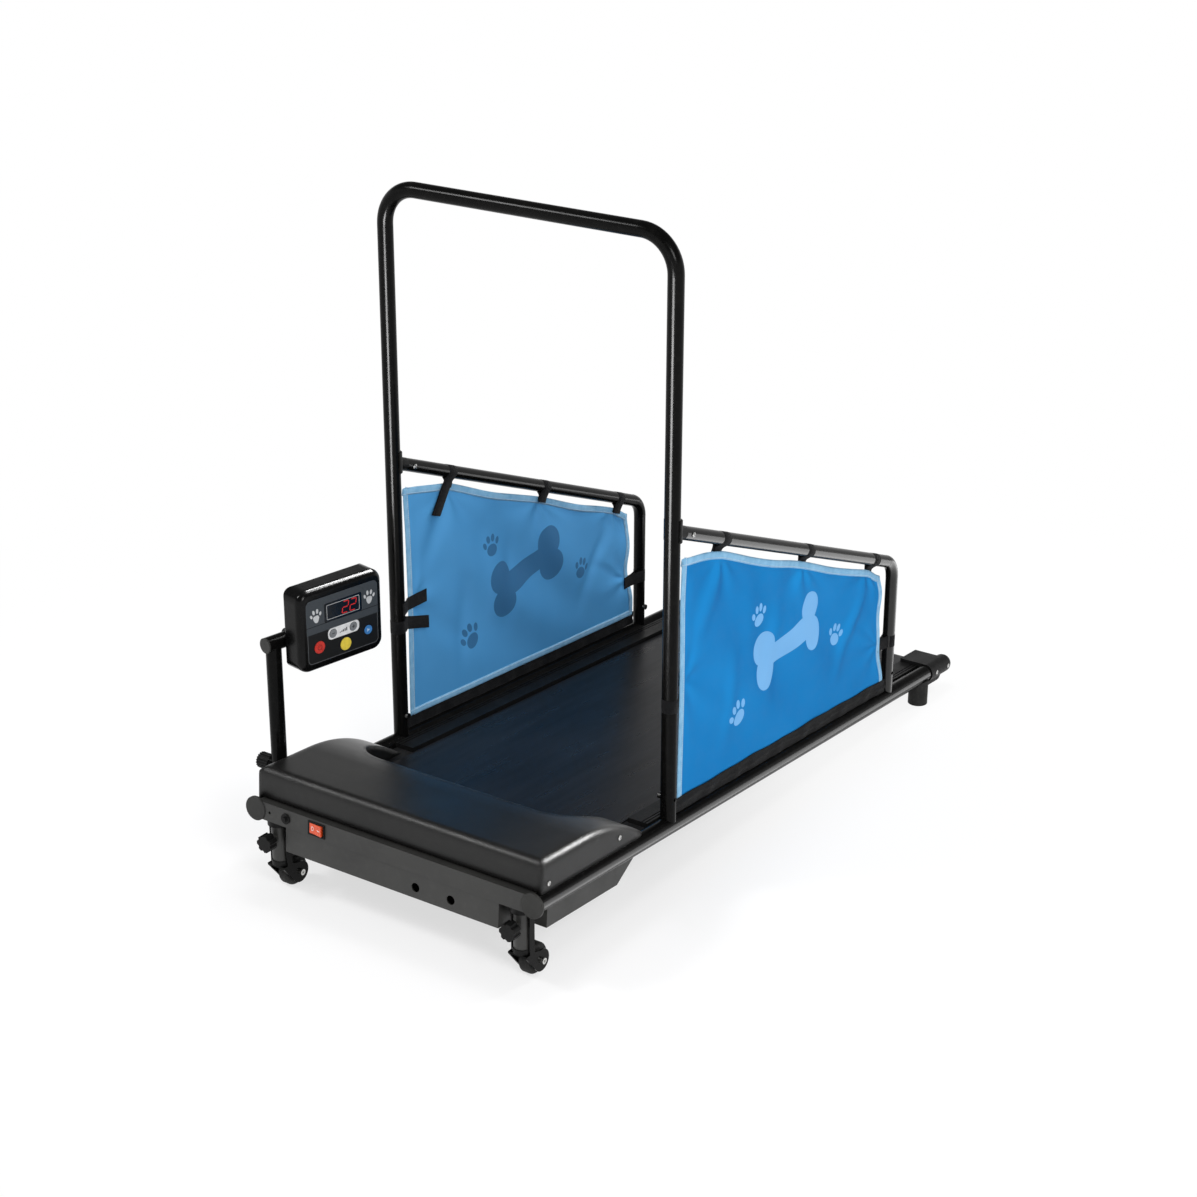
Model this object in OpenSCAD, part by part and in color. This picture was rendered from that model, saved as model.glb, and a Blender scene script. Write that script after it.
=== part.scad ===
// Dog treadmill: an inclined tube frame with a motor hood, a running belt, a hand hoop,
// two fabric side screens and a console on a clamped arm.
// +Y runs to the rear, +X to the right of a dog on the belt and +Z up. The origin is on the floor.

/* [Side rails] */
// Distance between the two rail axes
rail_gap = 537; // [520:1:580]
// Outside diameter of a rail
rail_d = 30; // [28:0.5:32]
// Wall of a rail tube
rail_wall = 2; // [1.5:0.1:3]
// Length of a rail
rail_len = 1252; // [1200:1:1400]
// Height of the rail axis above the floor at the front
front_h = 142.5; // [140:0.5:160]
// Height of the rail axis above the floor at the rear feet
rear_h = 53; // [50:0.5:65]
// Distance of the rear feet from the rails' rear ends
foot_inset = 36; // [34:1:80]
// Diameter of a rear foot
foot_d = 36; // [30:1:44]
// Diameter of the disc on a rail's front end
disc_d = 40; // [36:1:44]
// Thickness of that disc
disc_t = 5; // [3:0.5:8]

/* [Front beam and legs] */
// Height of the front beam
beam_h = 30; // [28:1:30]
// Depth of the front beam
beam_depth = 40; // [36:1:42]
// Wall of the front beam
beam_wall = 2.5; // [2:0.1:3]
// Distance of a leg's axis from its rail's axis
leg_inset = 31.5; // [30:0.5:36]
// Outside diameter of a leg sleeve
leg_d = 26; // [24:0.5:27]
// Wall of a leg sleeve and of the leg inside it
leg_wall = 2; // [1.5:0.1:2.5]
// Diameter of a wheel
wheel_d = 50; // [44:1:52]
// Width of a wheel's tread
wheel_w = 20; // [19:1:24]
// Distance of a wheel's axle behind its leg
wheel_trail = 26; // [25:0.5:30]
// Diameter of a wheel's axle bolt
axle_d = 6; // [5:0.5:8]
// Diameter of a star knob
star_d = 29; // [26:1:34]

/* [Deck] */
// Distance of the belt's edge from its rail's axis
belt_inset = 56.5; // [56:0.5:70]
// Thickness of the running belt
belt_t = 2; // [1.5:0.1:3]
// Height of the board's top above the rail axes
board_z = 3; // [2:0.5:5]
// Thickness of the board
board_t = 15; // [12:0.5:16]
// Diameter of a belt roller
roller_d = 34; // [33:0.5:38]
// Diameter of a roller's shaft
shaft_d = 16; // [12:1:18]
// Height of a foot strip
strip_h = 8; // [6:0.5:9]

/* [Motor hood and tray] */
// Height of the hood's top above the rail axes
hood_h = 66; // [62:1:80]
// Wall of the hood
hood_wall = 3; // [2:0.1:4]
// Distance of the hood's middle rear edge from the front
hood_mid_y = 166; // [155:1:175]
// Radius of the curve that the hood's rear falls on
hood_arc = 296; // [260:2:330]
// Depth of the motor tray below the rail axes
tray_depth = 57; // [54:1:65]
// Wall of the motor tray
tray_wall = 2; // [1.5:0.1:3]

/* [Hoop and side bars] */
// Distance of the hoop from the front
hoop_y = 366; // [350:1:400]
// Height of the hoop's top tube axis above the floor
hoop_h = 1066; // [900:1:1200]
// Diameter of the hoop tube
hoop_d = 25.4; // [22:0.1:28]
// Wall of the hoop tube
hoop_wall = 1.6; // [1.2:0.1:2.5]
// Radius of the hoop's bends
hoop_bend = 60; // [45:1:90]
// Height of a side bar's axis at the hoop
bar_h = 613; // [560:1:680]
// Height of a side bar's axis at its rear corner
bar_low_h = 324; // [280:1:360]
// Distance of a side bar's upright from the front
bar_y = 1090; // [1000:1:1120]
// Diameter of a side bar
bar_d = 22; // [20:0.5:25]
// Wall of a side bar
bar_wall = 1.5; // [1.2:0.1:2.5]
// Radius of a side bar's bend
bar_bend = 42; // [35:1:60]

/* [Screens] */
// Height of a screen's lower edge above the rail axis
screen_low = 17; // [16.5:0.5:40]
// Gap from the hoop's axis to a screen's front edge
screen_front = 26; // [22:1:40]
// Thickness of a screen
screen_t = 1.6; // [1:0.1:2.5]
// Depth of a screen's folds
fold_depth = 5; // [2:0.5:8]
// Width of a strap
strap_w = 22; // [15:1:28]
// Thickness of a strap
strap_t = 1.4; // [1:0.1:2]

/* [Console] */
// Width of the console
console_w = 167; // [155:1:190]
// Height of the console
console_h = 138; // [130:1:150]
// Depth of the console
console_depth = 43; // [38:1:50]
// Turn of the console away from the belt's direction, in degrees
console_turn = 11; // [0:1:20]
// Height of the tee tube's axis above the floor
tee_h = 386; // [350:1:420]
// Distance of the arm from the left rail's axis
arm_out = 28.5; // [28:0.5:50]
// Distance of the arm from the front
arm_y = 93; // [80:1:110]
// Height of the arm's pivot above the rail axis
pivot_rise = 36; // [34:1:50]
// Diameter of the arm tube
arm_d = 25.4; // [22:0.1:27]
// Width of the overlay
overlay_w = 143; // [138:1:146]
// Height of the overlay
overlay_h = 108; // [104:1:112]

/* [Fits] */
// Clearance between pieces that are fixed together
fit = 0.2; // [0.1:0.05:0.3]
// Radial clearance of round pieces that turn or slide in each other
run_fit = 0.06; // [0.03:0.01:0.1]
// Air between other pieces that move past each other
air = 0.4; // [0.3:0.05:0.6]

/* [Hidden] */
$fn = 64;
// Overrun of every cut
over = 1;

// Rails
rail_x = rail_gap / 2;
rail_r = rail_d / 2;
rail_bore = rail_d - 2 * rail_wall;
rail_end = disc_t + rail_len;
foot_y = rail_end - foot_inset;
foot_top_share = 0.4;
incline = asin((front_h - rear_h) / foot_y);
disc_edge = 1;
disc_plug = 18;

// Fasteners
screw_d = 4;
screw_head_d = 8;
screw_head_h = 2.4;
screw_len = 10;
bolt_d = 6;
bolt_head_d = 10;
bolt_head_h = 5;
bolt_len = 19;
socket_d = 5;

// Front beam
beam_y = 2;
beam_play = 1.6;
leg_x = rail_x - leg_inset;
leg_y = beam_y + beam_wall + beam_play + leg_d / 2;
leg_bore = leg_d - 2 * leg_wall;
leg_axis_h = front_h - leg_y * tan(incline);

// Legs, forks and wheels
wheel_r = wheel_d / 2;
fork_side = 5;
fork_gap = wheel_w + 2 * fork_side;
fork_t = 2.5;
crown_t = 3.5;
crown_drop = 6;
crown_inset = 1;
crown_h = wheel_d - crown_drop;
crown_top = crown_h + crown_t;
crown_front = leg_d / 2 - crown_inset;
crown_rear = 8;
eye_r = 18;
eye_front_angle = 225;
eye_rear_angle = 50;
guide_front = 4;
guide_rear = 8;
ring_h = 8;
ring_lip = 1.5;
ring_r = fork_gap / 2 - air;
ring_low = crown_top + air;
sleeve_low = ring_low + ring_lip;
sleeve_top = leg_axis_h + beam_h / 2 - beam_wall - leg_d * tan(incline);
collar_wall = 5;
collar_h = 8;
collar_low = leg_axis_h - beam_h / 2 - collar_h;
leg_top = sleeve_top - ring_h;
guide_top = collar_low - ring_lip;
hub_d = 18;
hub_len = fork_gap - 2 * air;
tread_round = 5;
star_drop = 45;
star_h = leg_axis_h - star_drop;
star_len = 16;
star_lobes = 7;
star_groove_d = 8;
star_groove_share = 1.12;
star_neck_d = 15;
star_neck = 3;
boss_d = 14;
boss_len = 5;
stud_d = 6;
star_y = leg_y - leg_d / 2 - boss_len - air - star_neck;

// Deck, with the belt's rollers and the rear end caps
belt_gap = 0.3;
belt_x = rail_x - belt_inset;
roller_r = roller_d / 2;
belt_in_r = roller_r + belt_gap;
belt_out_r = belt_in_r + belt_t;
roller_z = board_z + belt_gap - belt_in_r;
roller_side = 1.5;
roller_x = belt_x + roller_side;
front_roller_y = 152;
cap_grip = 11;
cap_y = rail_end - cap_grip;
cap_wall = 2;
cap_r = rail_r + cap_wall;
cap_len = 70;
block_len = 72;
rear_roller_run = 38;
rear_roller_y = cap_y + rear_roller_run;
strip_gap = 1;
strip_side = 4;
strip_in = belt_x + strip_side;
strip_out = rail_x - rail_r - strip_gap;
strip_w = strip_out - strip_in;
strip_lead = 165;
strip_y = hood_mid_y + strip_lead;
groove_w = 2;
groove_shares = [0.68, 0.84];
board_side = 2.5;
board_x = strip_out - board_side;
board_lead = 38;
board_tail = 2;
board_y = front_roller_y + board_lead;
board_len = cap_y - board_tail - board_y;
board_low = board_z - board_t;
brace_w = 30;
brace_h = 16;
brace_wall = 2;
brace_shares = [0.13, 0.5, 0.9];
bearing_w = 36;
bearing_h = 26;
bearing_t = 10;
bearing_seat = 5;
block_floor = 3;
block_side = 1;
block_in = strip_in + block_side;
block_low = roller_z - bearing_h / 2 - block_floor;
block_round = 15;
pocket_w = 33;
pocket_slack = 6;
pocket_out = block_in + pocket_w;
cap_screw_front = 20;
cap_screw_rear = 66;
cap_screw_ys = [cap_screw_front, cap_screw_rear];
cap_screw_seat = 1.5;
tension_x = block_in + pocket_w / 2;
tension_sink = 6;

// Drive
pulley_d = 68;
motor_pulley_d = 28;
pulley_w = 14;
pulley_side = 8;
pulley_x = roller_x + pulley_side + pulley_w / 2;
pulley_groove = 1.5;
pulley_groove_depth = 1.2;
motor_d = 72;
motor_len = 140;
motor_y = 82;
motor_z = -14;
motor_side = 22;
motor_end = pulley_x - pulley_w / 2 - motor_side;
motor_shaft_d = 12;
motor_shaft_in = 30;
motor_neck_d = 40;
motor_neck = 8;
flywheel_d = 50;
flywheel_t = 10;
drive_t = 2;
drive_w = 12;
cradle_len = 80;
cradle_w = 60;
cradle_h = 20;
pcb_size = [110, 80, 1.6];
pcb_x = -190;
pcb_y = 62;
standoff_d = 7;
standoff_h = 8;
standoff_inset = 6;
sink_size = [60, 24, 26];
sink_fin = 2;
sink_fins = 6;
sink_base = 4;
can_d = 18;
can_h = 28;
can_x = 88;

// Hood and tray
hood_out = 6.5;
hood_x = rail_x + hood_out;
hood_front = 8;
hood_lean = 10;
hood_edge = 13;
hood_flat_y = 128;
hood_gap = 2.5;
hood_notch_lap = 1;
hood_notch_x = strip_in - hood_notch_lap;
hood_notch_round = 62;
hood_low = board_z + strip_h + fit;
hood_drop = hood_h - hood_low;
hood_crease = 0.3;
hood_sweep = 45;
hood_tip_y = hood_flat_y + sqrt(pow(hood_arc, 2) - pow(hood_arc - hood_drop, 2));
hood_screw_front = [33, 27];
hood_screw_rear = [218, 34];
hood_screws = [hood_screw_front, hood_screw_rear];
tab_t = 2.5;
tab_w = 14;
tab_rise = 3.5;
tray_in = 6.5;
tray_x = rail_x - tray_in;
tray_front = 4;
tray_leg_side = 12;
tray_leg_rear = 32;
tray_notch_x = leg_x - fork_gap / 2 - fork_t - tray_leg_side;
tray_notch_y = leg_y + tray_leg_rear;
tray_rear = 286;
tray_low_y = 238;
tray_rear_z = -22;
tray_belt_gap = 3;
outlet_near = 51;
outlet_far = 118;
outlet_xs = [outlet_near, outlet_far];
outlet_z = -39;
outlet_d = 15;

// Switch and reset button
switch_from_leg = 94;
switch_x = switch_from_leg - leg_x;
switch_size = [33.5, 23];
switch_body = [30.5, 19.5];
switch_flange = 1.5;
switch_depth = 22;
switch_wall = 1;
rocker_half = 12.9;
rocker_nose = 3;
rocker_dip = 0.8;
rocker_back = 5;
rocker_pivot = 4;
rocker_pin_d = 3;
rocker_pin_in = 0.7;
rocker_tip = 8;
rocker_back_share = 0.8;
rocker_h = switch_body[1] - 2 * switch_wall - 2 * air;
breaker_from_leg = 31;
breaker_x = breaker_from_leg - leg_x;
breaker_d = 12;
breaker_flange_d = 17;
breaker_flange = 2;
breaker_depth = 26;
breaker_cap_d = 8;
breaker_cap_out = 6;
breaker_cap_in = 10;
breaker_travel = 2;
vent_past_leg = 3;
vent_x = -leg_x - vent_past_leg;
vent_d = 5;

// Hoop, side bars and the studs that carry them
hoop_bore = hoop_d - 2 * hoop_wall;
bar_bore = bar_d - 2 * bar_wall;
bar_swell = 0.15;
bar_slope = atan((bar_h - bar_low_h) / (bar_y - hoop_y));
bar_turn = 90 - bar_slope;
bar_run = (bar_y - hoop_y) / cos(bar_slope);
bar_straight = bar_run - bar_bend * tan(bar_turn / 2);
bar_eye_y = bar_y - bar_bend;
bar_eye_h = bar_h - bar_straight * sin(bar_slope) - bar_bend * cos(bar_slope);
stud_h = 55;
stud_bolt_h = 34;
clip_len = 30;
clip_wall = 3;
clip_h = 34;
clip_spigot = 34;
bar_screw_in = 16;
bar_screw_at = clip_len + bar_screw_in;

// Screens and straps
screen_top = 22;
screen_droop = 22;
droop_share = 0.185;
screen_rear_droop = 8;
rear_droop_share = 0.07;
screen_rear_low = 24;
screen_rear_top = 46;
screen_y = hoop_y + screen_front;
fold_waves = 2.5;
fold_slant_share = 0.6;
screen_cols = 22;
screen_rows = 8;
strap_gap = 0.6;
strap_lap = 8;
strap_tail = 56;
bar_strap_shares = [0.2, 0.57, 0.895];
post_strap_share = 0.423;
post_strap_rise = 31;
post_strap_tail = 52;
upright_strap_share = 0.43;
upright_strap_tail = 20;

// Arm and console
arm_x = rail_x + arm_out;
arm_wall = 1.6;
pivot_h = front_h - arm_y * tan(incline) + pivot_rise;
eye_d = 30;
pivot_d = 10;
plate_t = 5;
plate_w = 30;
plate_foot = 8;
plate_x = arm_x - arm_d / 2 - air;
knob_d = 27;
knob_len = 23;
knob_neck_d = 18;
knob_neck = 3;
knob_ribs = 18;
knob_rib_d = 3;
knob_x = arm_x + arm_d / 2 + air;
tee_front = 14;
tee_len = 146;
plug_t = 2.5;
plug_in = 12;
console_lead = 8.3;
console_rise = 27.4;
back_off = 18;
back_depth = 14;
back_round = 5;
shell_wall = 2.5;
face_wall = 4;
console_round = 20;
console_edge = 12;
clamp_wall = 4.2;
clamp_w = 26;
clamp_shares = [-0.3, 0.12];
overlay_t = 1;
overlay_round = 9;
overlay_z = -1;
window_size = [74.5, 32];
window_round = 3;
window_t = 2;
window_place = [1.8, 25.6];
button_out = 0.8;
button_lip = 1.8;
button_lip_t = 1.2;
power_place = [-47.7, -27.8];
power_d = 20;
minus_place = [-19.9, -12.2];
plus_place = [20.6, -12.2];
step_d = 14;
yellow_place = [4.2, -37.3];
yellow_d = 21;
blue_place = [50.1, -26.9];
blue_d = 15;
buttons = [
    [power_place, power_d], [minus_place, step_d], [plus_place, step_d],
    [yellow_place, yellow_d], [blue_place, blue_d]
];
panel_t = 1.6;
panel_gap = 4;
panel_side = 10;
panel_post_d = 8;

// Outermost faces, which centre the origin under the machine
right_face = rail_x + disc_d / 2;
left_face = knob_x + knob_neck + knob_len;
front_face = star_y - star_len;
rear_face = (cap_y + cap_len) * cos(incline) + cap_r;
mid_x = (right_face - left_face) / 2;
mid_y = (front_face + rear_face) / 2;

// Height of the rail axis and of a side bar's axis above the floor, at a distance from the front
function rail_h(y) = front_h - y * tan(incline);
function bar_axis_h(y) = bar_h - (y - hoop_y) * tan(bar_slope);

// Places: the machine's own axes, its tilted deck, one of its sides, and the console's tee tube
module in_base() { translate([-mid_x, -mid_y, 0]) children(); }
module tilt() { translate([0, 0, front_h]) rotate([-incline, 0, 0]) children(); }
module to_side(side) { mirror([side < 0 ? 1 : 0, 0, 0]) children(); }
module both_sides() { for (side = [-1, 1]) to_side(side) children(); }
module at_tee() { translate([-arm_x, arm_y, tee_h]) rotate([0, 0, 90 - console_turn]) children(); }
module at_console() {
    at_tee() translate([console_lead + console_w / 2, -back_off, console_rise]) children();
}
module on_face(place) {
    at_console() translate([place[0], -console_depth, overlay_z + place[1]]) children();
}

// Repeated shapes
module rod_x(d, len) { rotate([0, 90, 0]) cylinder(d = d, h = len, center = true); }
module rod_y(d, len) { rotate([-90, 0, 0]) cylinder(d = d, h = len); }
module along_x(len) { rotate([90, 0, 90]) linear_extrude(len, center = true) children(); }
module along_y(len) { translate([0, len, 0]) rotate([90, 0, 0]) linear_extrude(len) children(); }
module rail_space() { tilt() translate([rail_x, -over, 0]) rod_y(rail_d + 2 * fit, rail_end + 2 * over); }
module rounded(w, h, r) {
    square([w, h - 2 * r], center = true);
    square([w - 2 * r, h], center = true);
    for (x = [-1, 1], y = [-1, 1]) translate([x * (w / 2 - r), y * (h / 2 - r)]) circle(r);
}
// Rectangle from y = 0 down to -d whose two lower corners are round
module soft_face(w, d, r) {
    translate([-w / 2, r - d]) square([w, d - r]);
    translate([r - w / 2, -d]) square([w - 2 * r, d]);
    for (x = [-1, 1]) translate([x * (w / 2 - r), r - d]) circle(r);
}
module stadium(len, r) {
    circle(r);
    translate([len, 0]) circle(r);
    translate([0, -r]) square([len, 2 * r]);
}
// Ring of a given inside diameter and wall, from z = 0 up
module ring(bore, wall, h) {
    difference() {
        cylinder(d = bore + 2 * wall, h = h);
        translate([0, 0, -over]) cylinder(d = bore, h = h + 2 * over);
    }
}
// Pan-head screw whose head stands on z = 0
module screw() {
    cylinder(d = screw_head_d, h = screw_head_h / 2);
    translate([0, 0, screw_head_h / 2]) cylinder(d1 = screw_head_d, d2 = screw_d, h = screw_head_h / 2);
    translate([0, 0, -screw_len]) cylinder(d = screw_d, h = screw_len + screw_head_h / 2);
}
module screw_hole() {
    translate([0, 0, -screw_len - fit]) cylinder(d = screw_d + 2 * fit, h = screw_len + screw_head_d);
}
// Socket bolt whose head stands on z = 0
module bolt() {
    difference() {
        union() {
            cylinder(d = bolt_head_d, h = bolt_head_h);
            translate([0, 0, -bolt_len]) cylinder(d = bolt_d, h = bolt_len + bolt_head_h / 2);
        }
        translate([0, 0, bolt_head_h / 2]) cylinder(d = socket_d, h = bolt_head_h, $fn = 6);
    }
}

// Side rail with the tabs that take the hood's screws and the studs that carry the hoop and the bar
module stud(y, bore) {
    translate([rail_x, y, rail_h(y)]) cylinder(d = bore - 2 * fit, h = rail_r + stud_h);
}
module stud_hole(y) {
    translate([rail_x, y, rail_h(y) + rail_r + stud_bolt_h]) rod_x(bolt_d + 2 * fit, rail_d);
}
module hood_tab(place) {
    translate([hood_x - hood_wall - fit - tab_t, place[0] - tab_w / 2, rail_r / 2])
        cube([tab_t, tab_w, place[1] + tab_rise - rail_r / 2]);
}
module rail(side) {
    color("#23231f") in_base() to_side(side) difference() {
        union() {
            tilt() {
                translate([rail_x, disc_t, 0]) rod_y(rail_d, rail_len);
                for (place = hood_screws) hood_tab(place);
            }
            stud(hoop_y, hoop_bore);
            stud(bar_y, bar_bore);
        }
        tilt() translate([rail_x, disc_t - over, 0]) rod_y(rail_bore, rail_len + 2 * over);
        tilt() for (place = hood_screws)
            translate([hood_x, place[0], place[1]]) rotate([0, 90, 0]) screw_hole();
        stud_hole(hoop_y);
        stud_hole(bar_y);
    }
}
module left_rail() { rail(-1); }
module right_rail() { rail(1); }

// Discs that close the rails' front ends
module end_discs() {
    color("#2b2b28") in_base() both_sides() tilt() translate([rail_x, 0, 0]) {
        rotate([-90, 0, 0]) cylinder(d1 = disc_d - 2 * disc_edge, d2 = disc_d, h = disc_edge);
        translate([0, disc_edge, 0]) rod_y(disc_d, disc_t - disc_edge);
        translate([0, disc_edge, 0]) rod_y(rail_bore - 2 * fit, disc_t + disc_plug);
    }
}

// Front beam: a box tube between the rails, with the two leg sleeves welded through its floor
module beam_shell() {
    translate([-rail_x, beam_y, -beam_h / 2]) cube([rail_gap, beam_depth, beam_h]);
}
module beam_hollow() {
    translate([-rail_gap, beam_y + beam_wall, beam_wall - beam_h / 2])
        cube([2 * rail_gap, beam_depth - 2 * beam_wall, beam_h - 2 * beam_wall]);
}
module through_front(x) { translate([x, beam_y - over, 0]) children(); }
module sleeve() {
    translate([leg_x, leg_y, sleeve_low]) cylinder(d = leg_d, h = sleeve_top - sleeve_low);
    translate([leg_x, leg_y - leg_d / 2 - boss_len, star_h]) rod_y(boss_d, boss_len + leg_d / 2);
}
module front_beam() {
    cut = beam_wall + 2 * over;
    color("#2a2a27") in_base() difference() {
        union() {
            tilt() difference() {
                beam_shell();
                beam_hollow();
                through_front(switch_x) along_y(cut) square(switch_body, center = true);
                through_front(breaker_x) rod_y(breaker_d + 2 * fit, cut);
                through_front(vent_x) rod_y(vent_d, cut);
            }
            both_sides() sleeve();
        }
        both_sides() {
            rail_space();
            tilt() translate([rail_x, -over, 0]) rod_y(disc_d + 2 * fit, disc_t + fit + over);
            translate([leg_x, leg_y, sleeve_low - over])
                cylinder(d = leg_bore, h = sleeve_top - sleeve_low + 2 * over);
            translate([leg_x, leg_y - leg_d - boss_len, star_h])
                rod_y(stud_d + 2 * run_fit, leg_d + boss_len);
        }
    }
}

// Plastic rings: a collar under the beam and a lipped ring at the mouth of each leg sleeve
module leg_rings() {
    color("#0c0c0c") in_base() both_sides() {
        difference() {
            translate([leg_x, leg_y, collar_low]) ring(leg_d + 2 * fit, collar_wall - fit, 2 * collar_h);
            tilt() translate([-rail_x, beam_y - beam_depth, -beam_h / 2])
                cube([rail_gap, 2 * beam_depth, 2 * beam_h]);
        }
        difference() {
            translate([leg_x, leg_y, ring_low]) cylinder(r = ring_r, h = ring_h);
            translate([leg_x, leg_y, sleeve_low]) cylinder(d = leg_d + 2 * fit, h = ring_h);
            translate([leg_x, leg_y, ring_low - over]) cylinder(d = leg_bore, h = ring_h);
        }
    }
}

// Telescoping leg: an inner tube on the crown of a fork whose cheeks run up beside the sleeve
module fork_cheek() {
    eye = [wheel_trail, wheel_r];
    translate(eye) circle(eye_r);
    polygon([
        [-crown_front, crown_top],
        [-crown_front, crown_h],
        eye + eye_r * [cos(eye_front_angle), sin(eye_front_angle)],
        eye + eye_r * [cos(eye_rear_angle), sin(eye_rear_angle)],
        [guide_rear, crown_top]
    ]);
    translate([-guide_front, crown_h]) square([guide_front + guide_rear, guide_top - crown_h]);
}
module leg(side) {
    color("#2e2e2b") in_base() translate([side * leg_x, leg_y, 0]) {
        difference() {
            union() {
                for (x = [-1, 1]) translate([x * (fork_gap + fork_t) / 2, 0, 0]) along_x(fork_t) fork_cheek();
                translate([-fork_gap / 2, -crown_front, crown_h])
                    cube([fork_gap, crown_front + crown_rear, crown_t]);
            }
            translate([0, wheel_trail, wheel_r]) rod_x(axle_d + 2 * run_fit, 2 * fork_gap);
        }
        translate([0, 0, crown_top]) difference() {
            cylinder(d = leg_bore - 2 * run_fit, h = leg_top - crown_top);
            translate([0, 0, leg_wall]) cylinder(d = leg_bore - 2 * leg_wall, h = leg_top);
        }
    }
}
module left_leg() { leg(-1); }
module right_leg() { leg(1); }

// Axle bolt with its socket head on the +X side and a nut on the other
module axle(side) {
    grip = fork_gap / 2 + fork_t;
    color("#c9c9c6") in_base() translate([side * leg_x, leg_y + wheel_trail, wheel_r]) difference() {
        union() {
            rod_x(axle_d, 2 * grip + bolt_head_h);
            translate([grip + bolt_head_h / 2, 0, 0]) rod_x(bolt_head_d, bolt_head_h);
            translate([-grip - bolt_head_h / 2, 0, 0]) rotate([0, 90, 0])
                cylinder(d = bolt_head_d, h = bolt_head_h, center = true, $fn = 6);
        }
        translate([grip + bolt_head_h / 2, 0, 0]) rotate([0, 90, 0])
            cylinder(d = socket_d, h = bolt_head_h, $fn = 6);
    }
}
module left_axle() { axle(-1); }
module right_axle() { axle(1); }

// Wheel: a tread with round shoulders on a hub that runs on the axle bolt
module wheel(side) {
    color("#191919") in_base() translate([side * leg_x, leg_y + wheel_trail, wheel_r]) rotate([0, 90, 0])
        rotate_extrude() difference() {
            union() {
                translate([0, -hub_len / 2]) square([hub_d / 2, hub_len]);
                intersection() {
                    rounded(wheel_d, wheel_w, tread_round);
                    translate([0, -wheel_w / 2]) square([wheel_d / 2, wheel_w]);
                }
            }
            translate([0, -hub_len]) square([axle_d / 2 + run_fit, 2 * hub_len]);
        }
}
module left_wheel() { wheel(-1); }
module right_wheel() { wheel(1); }

// Star knob whose stud runs through the sleeve's boss to the leg
module star_knob(side) {
    color("#101010") in_base() translate([side * leg_x, star_y, star_h]) {
        translate([0, -star_len, 0]) difference() {
            rod_y(star_d, star_len);
            for (i = [0 : star_lobes - 1]) rotate([0, i * 360 / star_lobes, 0])
                translate([star_d / 2 * star_groove_share, -over, 0])
                    rod_y(star_groove_d, star_len + 2 * over);
        }
        rod_y(star_neck_d, star_neck);
        rod_y(stud_d, leg_y - leg_bore / 2 - air - star_y);
    }
}
module left_leg_knob() { star_knob(-1); }
module right_leg_knob() { star_knob(1); }

// Running board, and the braces that tie the rails under it
module deck_board() {
    color("#6b5238") in_base() tilt() translate([-board_x, board_y, board_low])
        cube([2 * board_x, board_len, board_t]);
}
module cross_braces() {
    inner = [rail_gap + 2 * over, brace_w - 2 * brace_wall, brace_h - 2 * brace_wall];
    color("#242421") in_base() for (share = brace_shares) difference() {
        tilt() translate([0, board_y + share * board_len, board_low - brace_h / 2]) difference() {
            cube([rail_gap, brace_w, brace_h], center = true);
            cube(inner, center = true);
        }
        both_sides() rail_space();
    }
}

// Endless belt round both rollers
module running_belt() {
    run = rear_roller_y - front_roller_y;
    color("#111214") in_base() tilt() translate([0, front_roller_y, roller_z]) along_x(2 * belt_x)
        difference() {
            stadium(run, belt_out_r);
            stadium(run, belt_in_r);
        }
}

// Foot strip beside the belt, with two grooves along the rail
module foot_strip(side) {
    color("#2c2d2d") in_base() to_side(side) tilt() translate([strip_in, strip_y, board_z])
        along_y(cap_y - fit - strip_y) difference() {
            square([strip_w, strip_h]);
            for (share = groove_shares) translate([share * strip_w, strip_h - groove_w])
                square([groove_w, 2 * groove_w]);
        }
}
module left_foot_strip() { foot_strip(-1); }
module right_foot_strip() { foot_strip(1); }

// Moulded rear end cap: a domed sleeve over the rail and a block that houses the roller's bearing
module block_side_view() {
    translate([0, block_low]) square([block_len - block_round, cap_r - block_low]);
    translate([0, block_low + block_round]) square([block_len, cap_r - block_low - 2 * block_round]);
    for (z = [block_low + block_round, cap_r - block_round])
        translate([block_len - block_round, z]) circle(block_round);
}
module end_cap(side) {
    color("#2d2d2b") in_base() to_side(side) tilt() difference() {
        union() {
            translate([rail_x, cap_y, 0]) rod_y(2 * cap_r, cap_len);
            translate([rail_x, cap_y + cap_len, 0]) sphere(cap_r);
            translate([(block_in + rail_x) / 2, cap_y, 0]) along_x(rail_x - block_in) block_side_view();
        }
        translate([rail_x, cap_y - over, 0]) rod_y(rail_d + 2 * fit, cap_grip + over);
        translate([block_in - over, rear_roller_y - bearing_w / 2 - fit, roller_z - bearing_h / 2 - fit])
            cube([pocket_w + over, bearing_w + pocket_slack + fit, bearing_h + 2 * fit]);
        translate([tension_x, cap_y + block_len - tension_sink, roller_z])
            rod_y(bolt_head_d + 2 * air, block_len);
        translate([tension_x, rear_roller_y, roller_z]) rod_y(bolt_d + 2 * fit, block_len);
        for (y = cap_screw_ys) translate([rail_x + cap_r - cap_screw_seat, cap_y + y, 0]) rotate([0, 90, 0]) {
            screw_hole();
            cylinder(d = screw_head_d + 2 * fit, h = screw_len);
        }
    }
}
module left_end_cap() { end_cap(-1); }
module right_end_cap() { end_cap(1); }

// Rear feet, coped to the rails' undersides
module rear_feet() {
    color("#0d0d0d") in_base() both_sides() difference() {
        translate([rail_x, foot_y, 0]) cylinder(d = foot_d, h = rail_h(foot_y) - foot_top_share * rail_r);
        rail_space();
    }
}

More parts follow.
